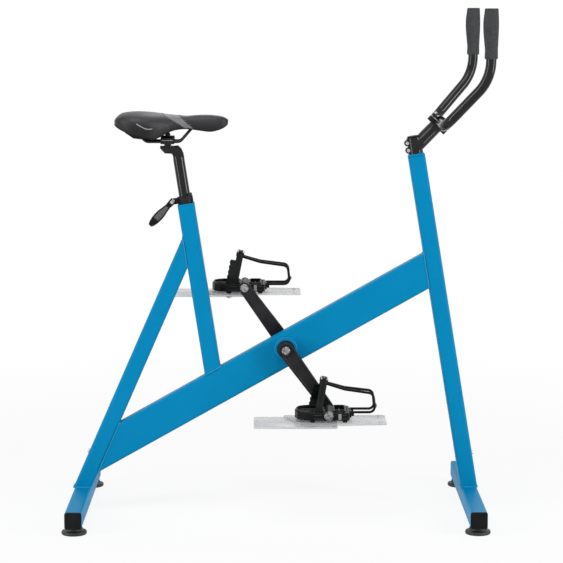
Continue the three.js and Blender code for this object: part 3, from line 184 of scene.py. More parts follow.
studio()
image_pixels = 563
focal_pixels = 2161.2
sensor_width = 36
eye = Vector((-14.6, -5134.4, 1218.4))
pitch_down = 7.352
yaw_right = 0.261
camera = bpy.data.objects.new("camera", bpy.data.cameras.new("camera"))
camera.data.sensor_width = sensor_width
camera.data.lens = focal_pixels / image_pixels * sensor_width
camera.location = eye * MM
camera.rotation_euler = (math.radians(90 - pitch_down), 0, math.radians(-yaw_right))
scene.collection.objects.link(camera)
scene.camera = camera

# Frame tubes
# Square steel tube, 40 mm with 2 mm walls, and an 80 x 40 mm beam, mitred, welded and powder
# coated in blue. The coat is smooth, with a faint orange-peel ripple.


def finish(name, look, specular=0.5, metallic=0.0):
    """Material whose look(spot) gives what changes over it, from the place on the object."""
    made = bpy.data.materials.new(name)
    made.use_nodes = True
    shader = made.node_tree.nodes["Principled BSDF"]
    shader.inputs["Specular IOR Level"].default_value = specular
    shader.inputs["Metallic"].default_value = metallic
    spot = Signal(made.node_tree).node("TexCoord", {}, {}, "Object")
    for socket, signal in look(spot).items():
        made.node_tree.links.new(signal.socket, shader.inputs[socket])
    return made


def varied(share, dark, light, roughness, normal):
    """What a look gives: a colour from dark to light as the share grows, roughness and bumps."""
    colour = share.blend((*dark, 1), (*light, 1))
    return {"Base Color": colour, "Roughness": roughness, "Normal": normal}


def smooth_skin(sharp_angle=50):
    """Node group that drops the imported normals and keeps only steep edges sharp."""
    group = bpy.data.node_groups.new("smooth_skin", "GeometryNodeTree")
    for way in ("INPUT", "OUTPUT"):
        group.interface.new_socket("Mesh", in_out=way, socket_type="NodeSocketGeometry")
    add = group.nodes.new
    link = group.links.new
    start, end = add("NodeGroupInput"), add("NodeGroupOutput")
    bare = add("GeometryNodeRemoveAttribute")
    bare.inputs["Name"].default_value = "custom_normal"
    faces = add("GeometryNodeSetShadeSmooth")
    edges = add("GeometryNodeSetShadeSmooth")
    edges.domain = "EDGE"
    edges.inputs["Shade Smooth"].default_value = False
    angle = add("GeometryNodeInputMeshEdgeAngle")
    sharp = add("FunctionNodeCompare")
    sharp.operation = "GREATER_THAN"
    sharp.inputs["B"].default_value = math.radians(sharp_angle)
    link(start.outputs[0], bare.inputs["Geometry"])
    link(bare.outputs[0], faces.inputs["Geometry"])
    link(faces.outputs[0], edges.inputs["Geometry"])
    link(angle.outputs["Unsigned Angle"], sharp.inputs["A"])
    link(sharp.outputs[0], edges.inputs["Selection"])
    link(edges.outputs[0], end.inputs[0])
    return group


skin = smooth_skin()


def eased(made, width, segments=2, angle=30):
    """Rounds every edge sharper than the angle, as moulding, casting or paint does."""
    soft = made.modifiers.new("eased", "BEVEL")
    soft.width = width * MM
    soft.segments = segments
    soft.limit_method = "ANGLE"
    soft.angle_limit = math.radians(angle)
    soft.use_clamp_overlap = True


def dressed(material, width, *names, segments=2, angle=30):
    """Gives CAD nodes a finish, and modifiers that merge their faces and round their edges."""
    same_point, same_plane = 0.002, 0.6
    for name in names:
        node = frame["nodes"][name]
        node.data.materials.clear()
        node.data.materials.append(material)
        weld = node.modifiers.new("welded", "WELD")
        weld.merge_threshold = same_point * MM
        flat = node.modifiers.new("flat", "DECIMATE")
        flat.decimate_type = "DISSOLVE"
        flat.angle_limit = math.radians(same_plane)
        eased(node, width, segments, angle)
        smooth = node.modifiers.new("smooth", "NODES")
        smooth.node_group = skin
        flat_sides = node.modifiers.new("flat_sides", "WEIGHTED_NORMAL")
        flat_sides.keep_sharp = True


def blue_look(spot):
    drift = spot.noise(9.0, 3.0)
    peel = spot.noise(900.0, 1.0) * 0.7 + spot.noise(240.0, 2.0) * 0.3
    return varied(drift, (0.0005, 0.208, 0.425), (0.001, 0.244, 0.495),
                  drift.ranged(0.3, 0.7, 0.38, 0.46), peel.bump(0.12, 0.35))


# Painted highlight: both colours are lighter than the tubes' blue, so each bead shows as a light line;
# the noise between them follows the torch stops.
def lit_weld_look(spot):
    stops = spot.noise(420.0, 3.0)
    return varied(stops, (0.003, 0.24, 0.47), (0.015, 0.32, 0.57),
                  stops.ranged(0.3, 0.7, 0.26, 0.36), stops.bump(0.15, 0.5))


blue_paint = finish("blue_powder_coat", blue_look, specular=0.06)
weld_painted_highlight = finish("weld_painted_highlight", lit_weld_look, specular=0.3)
tubes = ("main_beam", "seat_tube", "rear_leg", "front_post", "front_base_bar", "rear_base_bar")
dressed(blue_paint, 1.1, *tubes, angle=15)
dressed(blue_paint, 1.2, "steerer_stub", segments=3, angle=15)
dressed(blue_paint, 0.8, "bottom_bracket_shell")

# Welds
# Bead laid round each joint between two tubes, where the steel was fused and then coated with
# the rest of the frame. Its blue is painted lighter than the tubes' coat, as a painted highlight
# along each joint. Its small ripples are the stops of the welder's torch.
ACROSS = Vector((0, 1, 0))
UP = Vector((0, 0, 1))
FORWARD = Vector((1, 0, 0))
joints = {joint["name"]: joint for joint in frame["joints"]}


def joint_place(name):
    return Vector(joints[name]["pos_m"]) / MM


def leaning(lean):
    """Direction in side view that leans back from upright by this many degrees."""
    return Vector((-math.sin(math.radians(lean)), 0, math.cos(math.radians(lean))))


def front_of(run):
    return ACROSS.cross(run)


def meeting(start, run, place, normal):
    """Where a line meets a plane."""
    return start + run * ((place - start).dot(normal) / run.dot(normal))


def piece(name, body, material, shape, stands_for=(), crease=34):
    """Makes an object from (points, faces), riding on a body and standing for CAD nodes."""
    same_point = 0.004
    points, faces = shape
    mesh = bpy.data.meshes.new(name)
    mesh.from_pydata([Vector(point) * MM for point in points], [], faces)
    mesh.materials.append(material)
    tidy = bmesh.new()
    tidy.from_mesh(mesh)
    bmesh.ops.remove_doubles(tidy, verts=tidy.verts, dist=same_point * MM)
    bmesh.ops.recalc_face_normals(tidy, faces=tidy.faces)
    tidy.to_mesh(mesh)
    tidy.free()
    mesh.shade_smooth()
    mesh.set_sharp_from_angle(angle=math.radians(crease))
    made = bpy.data.objects.new(name, mesh)
    scene.collection.objects.link(made)
    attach(made, body)
    if stands_for:
        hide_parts(*stands_for)
    return made


def joined(*shapes):
    """Several shapes in one."""
    points, faces = [], []
    for more_points, more_faces in shapes:
        start = len(points)
        points += list(more_points)
        faces += [[start + corner for corner in face] for face in more_faces]
    return points, faces


def placed(shape, pose):
    points, faces = shape
    return [pose @ Vector(point) for point in points], faces


def facing(origin, y_axis, z_axis):
    """Pose with its Y and Z along two directions that are square to each other."""
    axes = (y_axis.cross(z_axis), y_axis, z_axis)
    turn = Matrix([[axis[row] for axis in axes] for row in range(3)])
    return Matrix.Translation(origin) @ turn.to_4x4()


def skinned(rings, closed=False, capped=True):
    """Skin over rings of equal count; closed joins the last ring to the first."""
    count = len(rings[0])
    points = [point for ring in rings for point in ring]
    runs = len(rings) if closed else len(rings) - 1
    faces = []
    for run in range(runs):
        near, far = run * count, (run + 1) % len(rings) * count
        for place in range(count):
            after = (place + 1) % count
            faces.append([near + place, near + after, far + after, far + place])
    if capped and not closed:
        faces.append(list(range(count))[::-1])
        faces.append([(len(rings) - 1) * count + place for place in range(count)])
    return points, faces


def round_ring(radius, sides):
    """Points of a circle."""
    turns = [2 * math.pi * side / sides for side in range(sides)]
    return [(radius * math.cos(turn), radius * math.sin(turn)) for turn in turns]


def swept(path, section, sideways, closed=False):
    """Section carried along a path of points; section(place) gives its ring of (x, y)."""
    rings = []
    side = sideways
    last = len(path) - 1
    for place, point in enumerate(path):
        before = path[place - 1] if place or closed else path[0]
        after = path[(place + 1) % len(path)] if place < last or closed else path[last]
        heading = (after - before).normalized()
        side = (side - heading * side.dot(heading)).normalized()
        other = heading.cross(side)
        rings.append([point + side * x + other * y for x, y in section(place)])
    return skinned(rings, closed)


def bead(corners, normal, radius=1.5, ripple=0.2, pitch=2.4):
    """Weld bead on a closed loop of points."""
    path = []
    for place, corner in enumerate(corners):
        after = corners[(place + 1) % len(corners)]
        count = max(1, round((after - corner).length / (pitch / 3)))
        path += [corner.lerp(after, step / count) for step in range(count)]
    wave = [1, 1 + ripple, 1 - ripple]
    return swept(path, lambda place: round_ring(radius * wave[place % 3], 8), normal, True)


def on_top(node):
    """Middle of the top of a CAD node."""
    low, high = (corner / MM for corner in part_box(node))
    return Vector(((low.x + high.x) / 2, 0, high.z))


tube_side, tube_corner, beam_high = 40.0, 5.0, 80.0


def arc(centre, radius, first, last, steps):
    """Points of part of a circle, from one angle to another in degrees."""
    turns = [math.radians(first + (last - first) * step / steps) for step in range(steps + 1)]
    return [(centre[0] + radius * math.cos(turn), centre[1] + radius * math.sin(turn))
            for turn in turns]


def tube_loop(start, run, plane_point, normal, high, steps=4):
    """Where the outside of a frame tube meets a plane, as a closed loop of points."""
    front = front_of(run)
    x, y = high / 2 - tube_corner, tube_side / 2 - tube_corner
    outline = []
    for place, centre in enumerate(((x, y), (-x, y), (-x, -y), (x, -y))):
        outline += arc(centre, tube_corner, 90 * place, 90 * place + 90, steps)
    return [meeting(start + front * x + ACROSS * y, run, plane_point, normal) for x, y in outline]


bracket_lift, seat_tube_back, leg_join = 2.2, 195.5, 366.6
beam_run, post_run = leaning(-60.65), leaning(9.4)
seat_run = Vector(joints["seat_height"]["axis"]).normalized()
bracket = joint_place("crank_spin")
beam_root = bracket + front_of(beam_run) * bracket_lift
seat_root = beam_root - beam_run * seat_tube_back
post_foot, leg_foot = on_top("front_base_bar"), on_top("rear_base_bar")
leg_run = (seat_root + seat_run * leg_join - leg_foot).normalized()
leg_front = leg_foot + front_of(leg_run) * tube_side / 2
post_back = post_foot - front_of(post_run) * tube_side / 2
beam_upper = beam_root - front_of(beam_run) * beam_high / 2
seat_back = seat_root - front_of(seat_run) * tube_side / 2


def welds():
    # Each joint: a point on the tube, its run, a point on the face it meets, that face, its height
    ends = (
        (beam_root, beam_run, leg_front, front_of(leg_run), beam_high),
        (beam_root, beam_run, post_back, front_of(post_run), beam_high),
        (seat_root, seat_run, beam_upper, front_of(beam_run), tube_side),
        (leg_foot, leg_run, seat_back, front_of(seat_run), tube_side),
        (leg_foot, leg_run, leg_foot, UP, tube_side),
        (post_foot, post_run, post_foot, UP, tube_side),
    )
    loops = [(tube_loop(*end), end[3]) for end in ends]
    shell_radius, shell_out = 26, tube_side / 2 + 0.4
    for side in (-1, 1):
        ring = [bracket + Vector((x, side * shell_out, z)) for x, z in round_ring(shell_radius, 30)]
        loops.append((ring, ACROSS))
    shape = joined(*(bead(loop, normal) for loop, normal in loops))
    piece("weld_beads", "frame", weld_painted_highlight, shape, crease=60)


welds()

# Plugs, end caps and feet
# Domed screws close a drain hole in the leg and in the post. Moulded caps are pressed into
# the ends of the base bars, and thick rubber feet are screwed up into them.


def lathed(profile, sides):
    """Rings about Z through (radius, height) points."""
    return [[(x, y, height) for x, y in round_ring(max(radius, 0.001), sides)]
            for radius, height in profile]


def turned(profile, sides=48):
    """Solid of revolution, closed where radius is 0."""
    return skinned(lathed(profile, sides), capped=False)


def steel_look(spot):
    streaks = spot.noise(260.0, 3.0, (1, 0.05, 1))
    return varied(streaks, (0.4, 0.4, 0.41), (0.6, 0.6, 0.61),
                  streaks.ranged(0.2, 0.8, 0.2, 0.38), streaks.bump(0.05, 0.4))


bright_steel = finish("bright_steel", steel_look, metallic=1.0)


def socketed(profile, socket_radius, top, depth, sides=48, lobes=6):
    """Turned head with a socket of flat sides in its top."""
    rings = lathed(profile, sides)
    step = 2 * math.pi / lobes
    socket = []
    for x, y in round_ring(socket_radius, sides):
        turn = math.atan2(y, x) % step - step / 2
        share = math.cos(step / 2) / math.cos(turn)
        socket.append((x * share, y * share))
    for share, height in ((1.08, top), (1, top - 0.3), (0.97, top - depth), (0.001, top - depth)):
        rings.append([(x * share, y * share, height) for x, y in socket])
    return skinned(rings, capped=False)


def plugs():
    profile = [(0, -2.0), (5.2, -2.0), (5.6, 0.4), (5.5, 1.6), (4.6, 3.0), (3.4, 3.8), (2.6, 4.0)]
    plug_rise = 78
    level = UP * (post_foot.z + plug_rise)
    for name, foot, run, side in (("leg", leg_foot, leg_run, -1), ("post", post_foot, post_run, 1)):
        start = meeting(foot, run, level, UP)
        out = front_of(run) * side
        spot = facing(start + out * tube_side / 2, ACROSS, out)
        shape = placed(socketed(profile, 2.1, 4.0, 1.8, 36), spot)
        piece(f"{name}_plug_screw", "frame", bright_steel, shape,
              [f"{name}_plug"], 50)


plugs()


def plastic_look(spot):
    grain = spot.noise(1500.0, 3.0)
    wear = spot.noise(35.0, 4.0)
    return varied(wear.ranged(0.4, 0.8), (0.0042, 0.0048, 0.0048), (0.0095, 0.0104, 0.0106),
                  wear.ranged(0.3, 0.7, 0.38, 0.5), grain.bump(0.06, 0.5))


black_plastic = finish("black_moulded_plastic", plastic_look, specular=0.12)
ends = ("front", "rear")
sides = {"right": -1, "left": 1}


def bend(before, corner, after, radius, steps=0, degrees_each=6):
    """Points of the round bend at a corner, in so many steps or in steps of so many degrees."""
    incoming, outgoing = (corner - before).normalized(), (after - corner).normalized()
    turn = incoming.angle(outgoing)
    steps = steps or max(2, round(math.degrees(turn) / degrees_each))
    inward = (outgoing - incoming * outgoing.dot(incoming)).normalized()
    start = corner - incoming * radius * math.tan(turn / 2)
    return [start + incoming * radius * math.sin(angle) + inward * radius * (1 - math.cos(angle))
            for angle in (turn * step / steps for step in range(steps + 1))]


def rounded(corners, radius, steps=4):
    """Outline through (x, y) corners, each rounded to one radius."""
    points = [Vector(corner) for corner in corners]
    outline = []
    for before, corner, after in zip(points[-1:] + points, points, points[1:] + points[:1]):
        outline += bend(before, corner, after, radius, steps)
    return outline


def edge_normals(points):
    """Direction out of a counterclockwise outline at each of its points."""
    runs = [points[(place + 1) % len(points)] - points[place - 1] for place in range(len(points))]
    return [Vector((run.y, -run.x)).normalized() for run in runs]


def slab(outline, layers):
    """Solid between copies of an outline; each layer is its (inset, height)."""
    points = [Vector(point) for point in outline]
    doubled = sum(a.x * b.y - b.x * a.y for a, b in zip(points, points[1:] + points[:1]))
    if doubled < 0:
        points.reverse()
    normals = edge_normals(points)
    return skinned([[(*(point - normal * inset), height) for point, normal in zip(points, normals)]
                    for inset, height in layers])


def soft_layers(low, high, edge):
    """Layers of a slab whose long edges are rounded."""
    return [(edge, low), (edge * 0.3, low + edge * 0.3), (0, low + edge),
            (0, high - edge), (edge * 0.3, high - edge * 0.3), (edge, high)]


def square(side, radius, steps=5):
    """Outline of a square with round corners."""
    half = side / 2
    return rounded([(half, half), (-half, half), (-half, -half), (half, -half)], radius, steps)


def end_caps():
    flange_edge = 3.0
    crowned = [(0.5, 0), (0, 0.4), (0, 1.6), (0.5, 2.5), (1.3, 3.0), (2.6, 3.3), (4.4, 3.5)]
    insert = [(2.6, -18.0), (2.2, -17.0), (2.2, 0.2)]
    rib = [(2.0, -12.4), (1.9, -12.0), (1.9, -10.6), (2.2, -10.2)]
    cap = joined(slab(square(39.6, tube_corner), crowned),
                 *(slab(square(tube_side, 4.6), layers) for layers in (insert, rib)))
    for end in ends:
        for name, side in sides.items():
            node = f"end_cap_{end}_{name}"
            low, high = (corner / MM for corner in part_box(node))
            face = (low.y if side < 0 else high.y) - side * flange_edge
            middle = Vector(((low.x + high.x) / 2, face, (low.z + high.z) / 2))
            shape = placed(cap, facing(middle, UP, ACROSS * side))
            piece(f"pressed_cap_{end}_{name}", "frame", black_plastic, shape,
                  [node], 40)


end_caps()


def rubber_look(spot):
    grain = spot.noise(700.0, 4.0)
    dust = spot.noise(30.0, 3.0)
    return varied(dust.ranged(0.35, 0.8), (0.014, 0.0142, 0.0145), (0.03, 0.03, 0.0302),
                  grain.ranged(0.3, 0.7, 0.45, 0.62), grain.bump(0.15, 0.5))


# Real rubber on the feet; on the pedals' rims and ribs the same finish is a painted highlight, greyer
# than their black moulding.
black_rubber = finish("black_rubber", rubber_look, specular=0.4)


def feet():
    profile = [(0, 0.6), (9, 0.6), (10, 0), (24, 0), (27.8, 0.5), (29.2, 1.9), (29.5, 3.6),
               (29.2, 6.8), (28.3, 8.3), (26.6, 9.0), (22.4, 9.4), (21.2, 9.9), (20.4, 11.0),
               (20.0, 12.6), (19.8, 15.2), (19.3, 16.6), (18.2, 17.3), (5, 17.3), (5, 31.5), (0, 31.5)]
    foot = turned(profile, 64)
    for end in ends:
        for side in sides:
            node = f"foot_pad_{end}_{side}"
            low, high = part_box(node)
            middle = (low + high) / 2 / MM
            shape = placed(foot, Matrix.Translation((middle.x, middle.y, 0)))
            piece(f"rubber_foot_{end}_{side}", "frame", black_rubber, shape,
                  [node], 40)


feet()

# Bottom bracket and cranks
# A threaded shell is welded through the beam and two notched alloy cups hold the bearings.
# The forged cranks have a sunk face and a raised ring round each end, and bolts hold them on.


def outward(centre, side):
    """Pose whose Z runs across the bike, away from its middle."""
    return Matrix.Translation(centre) @ Matrix.Rotation(math.radians(-90 * side), 4, "X")


def alloy_look(spot):
    cast = spot.noise(420.0, 4.0)
    drift = spot.noise(24.0, 3.0)
    return varied(drift.ranged(0.3, 0.75), (0.011, 0.011, 0.012), (0.024, 0.0235, 0.0255),
                  cast.ranged(0.3, 0.7, 0.3, 0.44), cast.bump(0.22, 0.6))


black_alloy = finish("black_forged_alloy", alloy_look, specular=0.12)
dressed(bright_steel, 0.5, "crank_spindle")


def bearing_cups():
    notch_count, notch_wide, notch_deep, ring_sides = 8, 3, 2.2, 96
    profile = [(20.4, 18, 0), (20.7, 18.4, 0), (20.7, 34.1, 0), (20.9, 34.4, 0), (20.9, 35.0, 1),
               (20.3, 35.5, 1), (14.6, 35.5, 0), (13.4, 34.6, 0), (11.4, 34.4, 0), (10.3, 34.1, 0),
               (10.3, 18.4, 0), (20.4, 18, 0)]
    rings = []
    for radius, height, notched in profile:
        ring = []
        for place, (x, y) in enumerate(round_ring(radius, ring_sides)):
            cut = notched and place % (ring_sides // notch_count) < notch_wide
            share = (radius - notch_deep) / radius if cut else 1
            ring.append((x * share, y * share, height))
        rings.append(ring)
    for name, side in sides.items():
        shape = placed(skinned(rings, capped=False), outward(bracket, side))
        piece(f"notched_cup_{name}", "frame", black_alloy, shape,
              [f"bearing_cup_{name}"])


bearing_cups()


def crank_outline(root, tip, length, steps=16):
    """Outline of a tapered arm with round ends, its length along Y."""
    taper = math.degrees(math.asin((root - tip) / length))
    return (arc((0, length), tip, taper, 180 - taper, steps)
            + arc((0, 0), root, 180 - taper, 360 + taper, steps))


def stained_look(spot):
    stains = spot.noise(240.0, 4.0)
    return varied(stains.ranged(0.35, 0.65), (0.1, 0.1, 0.104), (0.42, 0.42, 0.43),
                  stains.ranged(0.3, 0.7, 0.26, 0.42), stains.bump(0.08, 0.5))


stained_steel = finish("stained_steel", stained_look, metallic=1.0)


def cranks():
    root_radius, tip_radius = 19, 14
    arm = [(2.2, 40), (0.7, 40.5), (0, 42), (0, 51.6), (0.5, 53.0), (1.4, 53.8), (2.6, 54.0),
           (4.6, 54.0), (5.6, 53.7), (6.6, 52.8)]
    root_ring = [(0, 50), (16.4, 50), (16.4, 53.4), (15.9, 54.1), (12.6, 54.1), (12.0, 53.8),
                 (11.6, 53.0), (0, 53.0)]
    tip_ring = [(0, 50), (12.0, 50), (12.0, 53.2), (11.5, 54.0), (9.2, 54.0), (8.6, 53.4), (0, 53.4)]
    bolt = [(0, 42.4), (4, 42.4), (4, 54.3), (10.1, 54.3), (10.5, 54.7), (10.5, 57.2), (9.9, 58.3),
            (8.8, 58.7), (8.4, 59.6), (7.8, 60.0)]
    for name, side in sides.items():
        pedal = joint_place(f"pedal_{name}_spin")
        run = pedal - bracket
        run.y = 0
        length = run.length
        run.normalize()
        body = placed(slab(crank_outline(root_radius, tip_radius, length), arm),
                      facing(bracket, run, ACROSS * side))
        rings = [placed(turned(ring), outward(bracket + run * reach, side))
                 for ring, reach in ((root_ring, 0), (tip_ring, length))]
        piece(f"forged_crank_{name}", "crankset", black_alloy, joined(body, *rings),
              [f"crank_arm_{name}"])
        head = placed(socketed(bolt, 5.6, 60.0, 3.4), outward(bracket, side))
        piece(f"socket_bolt_{name}", "crankset", stained_steel, head,
              [f"crank_bolt_{name}"], 40)


cranks()

# Pedals
# Each pedal is one black moulding with two windows that have raised rims, turning on a steel
# axle with a bright end disc. Short bright clips on its sides hold the front plate.


def pedal_axles():
    spindle = [(0, 35.9), (9.4, 35.9), (10, 36.5), (10, 39.7), (7, 39.9), (7, 54.3), (9.5, 54.5),
               (9.5, 59.5), (6, 59.7), (6, 160.3), (10.6, 160.4), (11, 161), (11, 163.6), (10.4, 164.5),
               (9.6, 164.6), (9.1, 164.2), (8.8, 163.0), (7.8, 163.0), (7.4, 164.6), (6.6, 165.3)]
    for name, side in sides.items():
        centre = joint_place(f"pedal_{name}_spin")
        centre.y = 0
        shape = placed(socketed(spindle, 4.8, 165.3, 3.2, lobes=5), outward(centre, side))
        piece(f"disc_axle_{name}", "crankset", stained_steel, shape,
              [f"pedal_axle_{name}"], 40)


pedal_axles()

# Poses that stand a flat outline up: seen from the side, or seen from the front
upright = Matrix(((1, 0, 0, 0), (0, 0, 1, 0), (0, 1, 0, 0), (0, 0, 0, 1)))
frontal = Matrix(((0, 0, 1, 0), (1, 0, 0, 0), (0, 1, 0, 0), (0, 0, 0, 1)))


def dull_look(spot):
    brushed = spot.noise(300.0, 3.0, (0.05, 1, 1))
    return varied(brushed, (0.2, 0.2, 0.205), (0.34, 0.34, 0.345),
                  brushed.ranged(0.2, 0.8, 0.34, 0.5), brushed.bump(0.05, 0.4))


dull_steel = finish("dull_steel", dull_look, metallic=0.6)


def block(low, high):
    """Box between two corners."""
    (x0, y0, z0), (x1, y1, z1) = low, high
    points = [(x, y, z) for z in (z0, z1) for x, y in ((x0, y0), (x1, y0), (x1, y1), (x0, y1))]
    faces = [(3, 2, 1, 0), (4, 5, 6, 7), (0, 1, 5, 4), (1, 2, 6, 5), (2, 3, 7, 6), (3, 0, 4, 7)]
    return points, [list(face) for face in faces]


def dome(radius, rise, place, sides=16):
    """Low round head standing on a surface."""
    profile = [(radius, -1.0), (radius, rise * 0.35), (radius * 0.8, rise * 0.8),
               (radius * 0.4, rise), (0, rise)]
    return placed(turned(profile, sides), Matrix.Translation(place))


def tray(rear, front, half, rear_corner, front_corner, steps=10):
    """Plan outline with one corner radius at its rear and another at its front."""
    outline = []
    corners = ((front - front_corner, half - front_corner, front_corner),
               (rear + rear_corner, half - rear_corner, rear_corner),
               (rear + rear_corner, rear_corner - half, rear_corner),
               (front - front_corner, front_corner - half, front_corner))
    for place, (x, y, radius) in enumerate(corners):
        outline += arc((x, y), radius, 90 * place, 90 * place + 90, steps)
    return outline


def window_rim(outline, low, high):
    """Rounded rim round a window: a closed ring with a crowned top."""
    points = [Vector(point) for point in outline]
    section = ((0.2, low), (0.1, high - 0.8), (0.7, high), (2.3, high), (2.9, high - 0.8), (3.2, low))
    return skinned([[(*(point + normal * out), height) for out, height in section]
                    for point, normal in zip(points, edge_normals(points))], closed=True)


def pedal_piece(label, name, material, shape, node="", crease=34):
    """Piece of one pedal, made round the middle of its axle."""
    centre = Matrix.Translation(joint_place(f"pedal_{name}_spin"))
    nodes = [f"{node}_{name}"] if node else ()
    shape = placed(shape, centre)
    return piece(f"{label}_{name}", f"pedal_{name}", material, shape, nodes, crease)


def pedal_trim():
    """Window rims, ribs, belts along the sides and grip studs, with the clips beside them."""
    half_rib, deck, both = 1.3, 6.5, (-1, 1)
    side_face, belt_half, stud_row = 50.05, 0.75, 43.5
    windows = (tray(-73, -14, 37, 29.6, 6), tray(14, 37.5, 37, 6, 6))
    rims = [window_rim(window, 5.6, 10.3) for window in windows]
    ribs = [block((-70, y - half_rib, -9), (-15, y + half_rib, 5)) for y in (-18, 0, 18)]
    ribs += [block((x, -36.5, -8.5), (x + 2 * half_rib, 36.5, 3.5)) for x in (-45, 24.6)]
    ribs += [block((15, y - half_rib, -9), (37, y + half_rib, 4)) for y in (-12, 12)]
    belts = [block((x0, face - belt_half, z - 0.8), (x1, face + belt_half, z + 0.8))
             for face in (-side_face, side_face) for x0, x1 in ((-35, -13), (31, 41))
             for z in (-7.2, 1.6)]
    spots = [(x, way * stud_row) for way in both for x in (-34, -26, -12, 12, 30, 38)]
    spots += [(stud_row, y) for y in (-32, -16, 0, 16, 32)]
    studs = [dome(1.5, 1.3, (x, y, deck)) for x, y in spots]
    plate = rounded([(22.4, -9.4), (29.6, -9.4), (29.6, 4.6), (22.4, 4.6)], 1.4)
    clips = [placed(slab(plate, [(0, way * 49), (0, way * 50.5), (0.4, way * 50.9)]), upright)
             for way in both]
    for name in sides:
        # The rims, ribs, belts and studs belong to the black moulding; their greyer rubber finish is a
        # painted highlight where light catches their tops.
        made = pedal_piece("painted_highlight_rims_and_ribs", name, black_rubber,
                           joined(*rims, *ribs, *belts, *studs))
        eased(made, 0.4)
        pedal_piece("side_clips", name, dull_steel, joined(*clips))


dressed(black_plastic, 0.8, "pedal_body_right", "pedal_body_left", segments=3)
pedal_trim()

# Toe clips and straps
# Two moulded rods rise round the toe from a screwed plate and end at a buckle. A flexible
# moulded strap arches over the foot through it, and its scalloped loose end lies behind.


def routed(corners, radii, degrees_each=6):
    """Points of straight runs joined by round bends."""
    path = [corners[0]]
    for before, corner, after, radius in zip(corners, corners[1:], corners[2:], radii):
        path += bend(before, corner, after, radius, degrees_each=degrees_each)
    return path + [corners[-1]]


strap_pose = Matrix.Translation((-26.1, 0, 0)) @ Matrix.Rotation(math.radians(11.5), 4, "Y")


def clip_rods():
    rod_radius, widening = 2.9, 1.05
    corners = [(50.5, 23, 4), (110, 23, 4), (105, 20, 48), (38, 15, 57), (-6, 9, 70)]
    section = [(x * widening, y) for x, y in round_ring(rod_radius, 16)]
    paths = [routed([Vector((x, side * y, z)) for x, y, z in corners], (13, 13, 40))
             for side in (-1, 1)]
    return [swept(path, lambda place: section, UP) for path in paths]


def toe_clips():
    """Clip with its foot plate, nose bar and buckle seat, then its screws."""
    plate = rounded([(-29, -8.5), (29, -8.5), (29, 5.5), (-29, 5.5)], 2.4)
    plate_rear, plate_front, nose_radius = 49.8, 53.8, 2.5
    foot = placed(slab(plate, soft_layers(plate_rear, plate_front, 0.8)), frontal)
    nose = [Vector(point) for point in ((109.4, -22, 15), (111.6, -11, 16.6), (112.2, 0, 17),
                                        (111.6, 11, 16.6), (109.4, 22, 15))]
    bar = swept(nose, lambda place: round_ring(nose_radius, 14), UP)
    seat = placed(block((-4.5, -11, 69.4), (4, 11, 73.2)), strap_pose)
    webs = [block((53.4, way * 23 - 1.4, -5), (60, way * 23 + 1.4, 3)) for way in (-1, 1)]
    head = socketed([(0, 52), (3.4, 52), (3.4, 54.4), (2.9, 55.2), (2.2, 55.4)], 1.5, 55.4, 1.2, 24)
    screws = [placed(head, facing(Vector((0, way * 12, -2)), ACROSS, FORWARD)) for way in (-1, 1)]
    for name in sides:
        made = pedal_piece("moulded_clip", name, black_plastic,
                           joined(foot, *clip_rods(), bar, seat, *webs), "toe_clip")
        eased(made, 0.5)
        pedal_piece("clip_screws", name, bright_steel, joined(*screws), crease=40)


toe_clips()


def strap_buckles():
    """Alloy frame with a toothed jaw, and the two steel rollers that the strap runs over."""
    cheek_out, cheek_half = 13.4, 0.9
    outline = rounded([(-9.4, 71), (9.4, 71), (9.4, 82), (5, 85.2), (-6, 85.2), (-9.4, 82)], 1.6)
    cheeks = [placed(slab(outline, soft_layers(out - cheek_half, out + cheek_half, 0.3)), upright)
              for out in (-cheek_out, cheek_out)]
    plate = block((-9.2, -13.6, 73.0), (9.2, 13.6, 74.6))
    jaw = block((-3.6, -12.4, 83.0), (2.4, 12.4, 85.6))
    teeth = [block((-3.2 + step, -12, 82.3), (-2.5 + step, 12, 83.2)) for step in (0, 1.6, 3.2)]
    buckle = placed(joined(*cheeks, plate, jaw, *teeth), strap_pose)
    roller = turned([(0, -14.6), (1.9, -14.6), (2.1, -14.2), (2.1, 14.2), (1.9, 14.6), (0, 14.6)], 24)
    rollers = [placed(roller, strap_pose @ facing(Vector((x, 0, z)), FORWARD, ACROSS))
               for x, z in ((6.9, 83.6), (-6.9, 83.2))]
    for name in sides:
        eased(pedal_piece("strap_buckle", name, black_alloy, buckle), 0.3)
        pedal_piece("buckle_rollers", name, bright_steel, joined(*rollers), crease=40)


strap_buckles()


def mirrored(half):
    """Corners of one side and then, backwards, of the other."""
    return [Vector(point) for point in half] + [Vector((x, -y, z)) for x, y, z in reversed(half)]


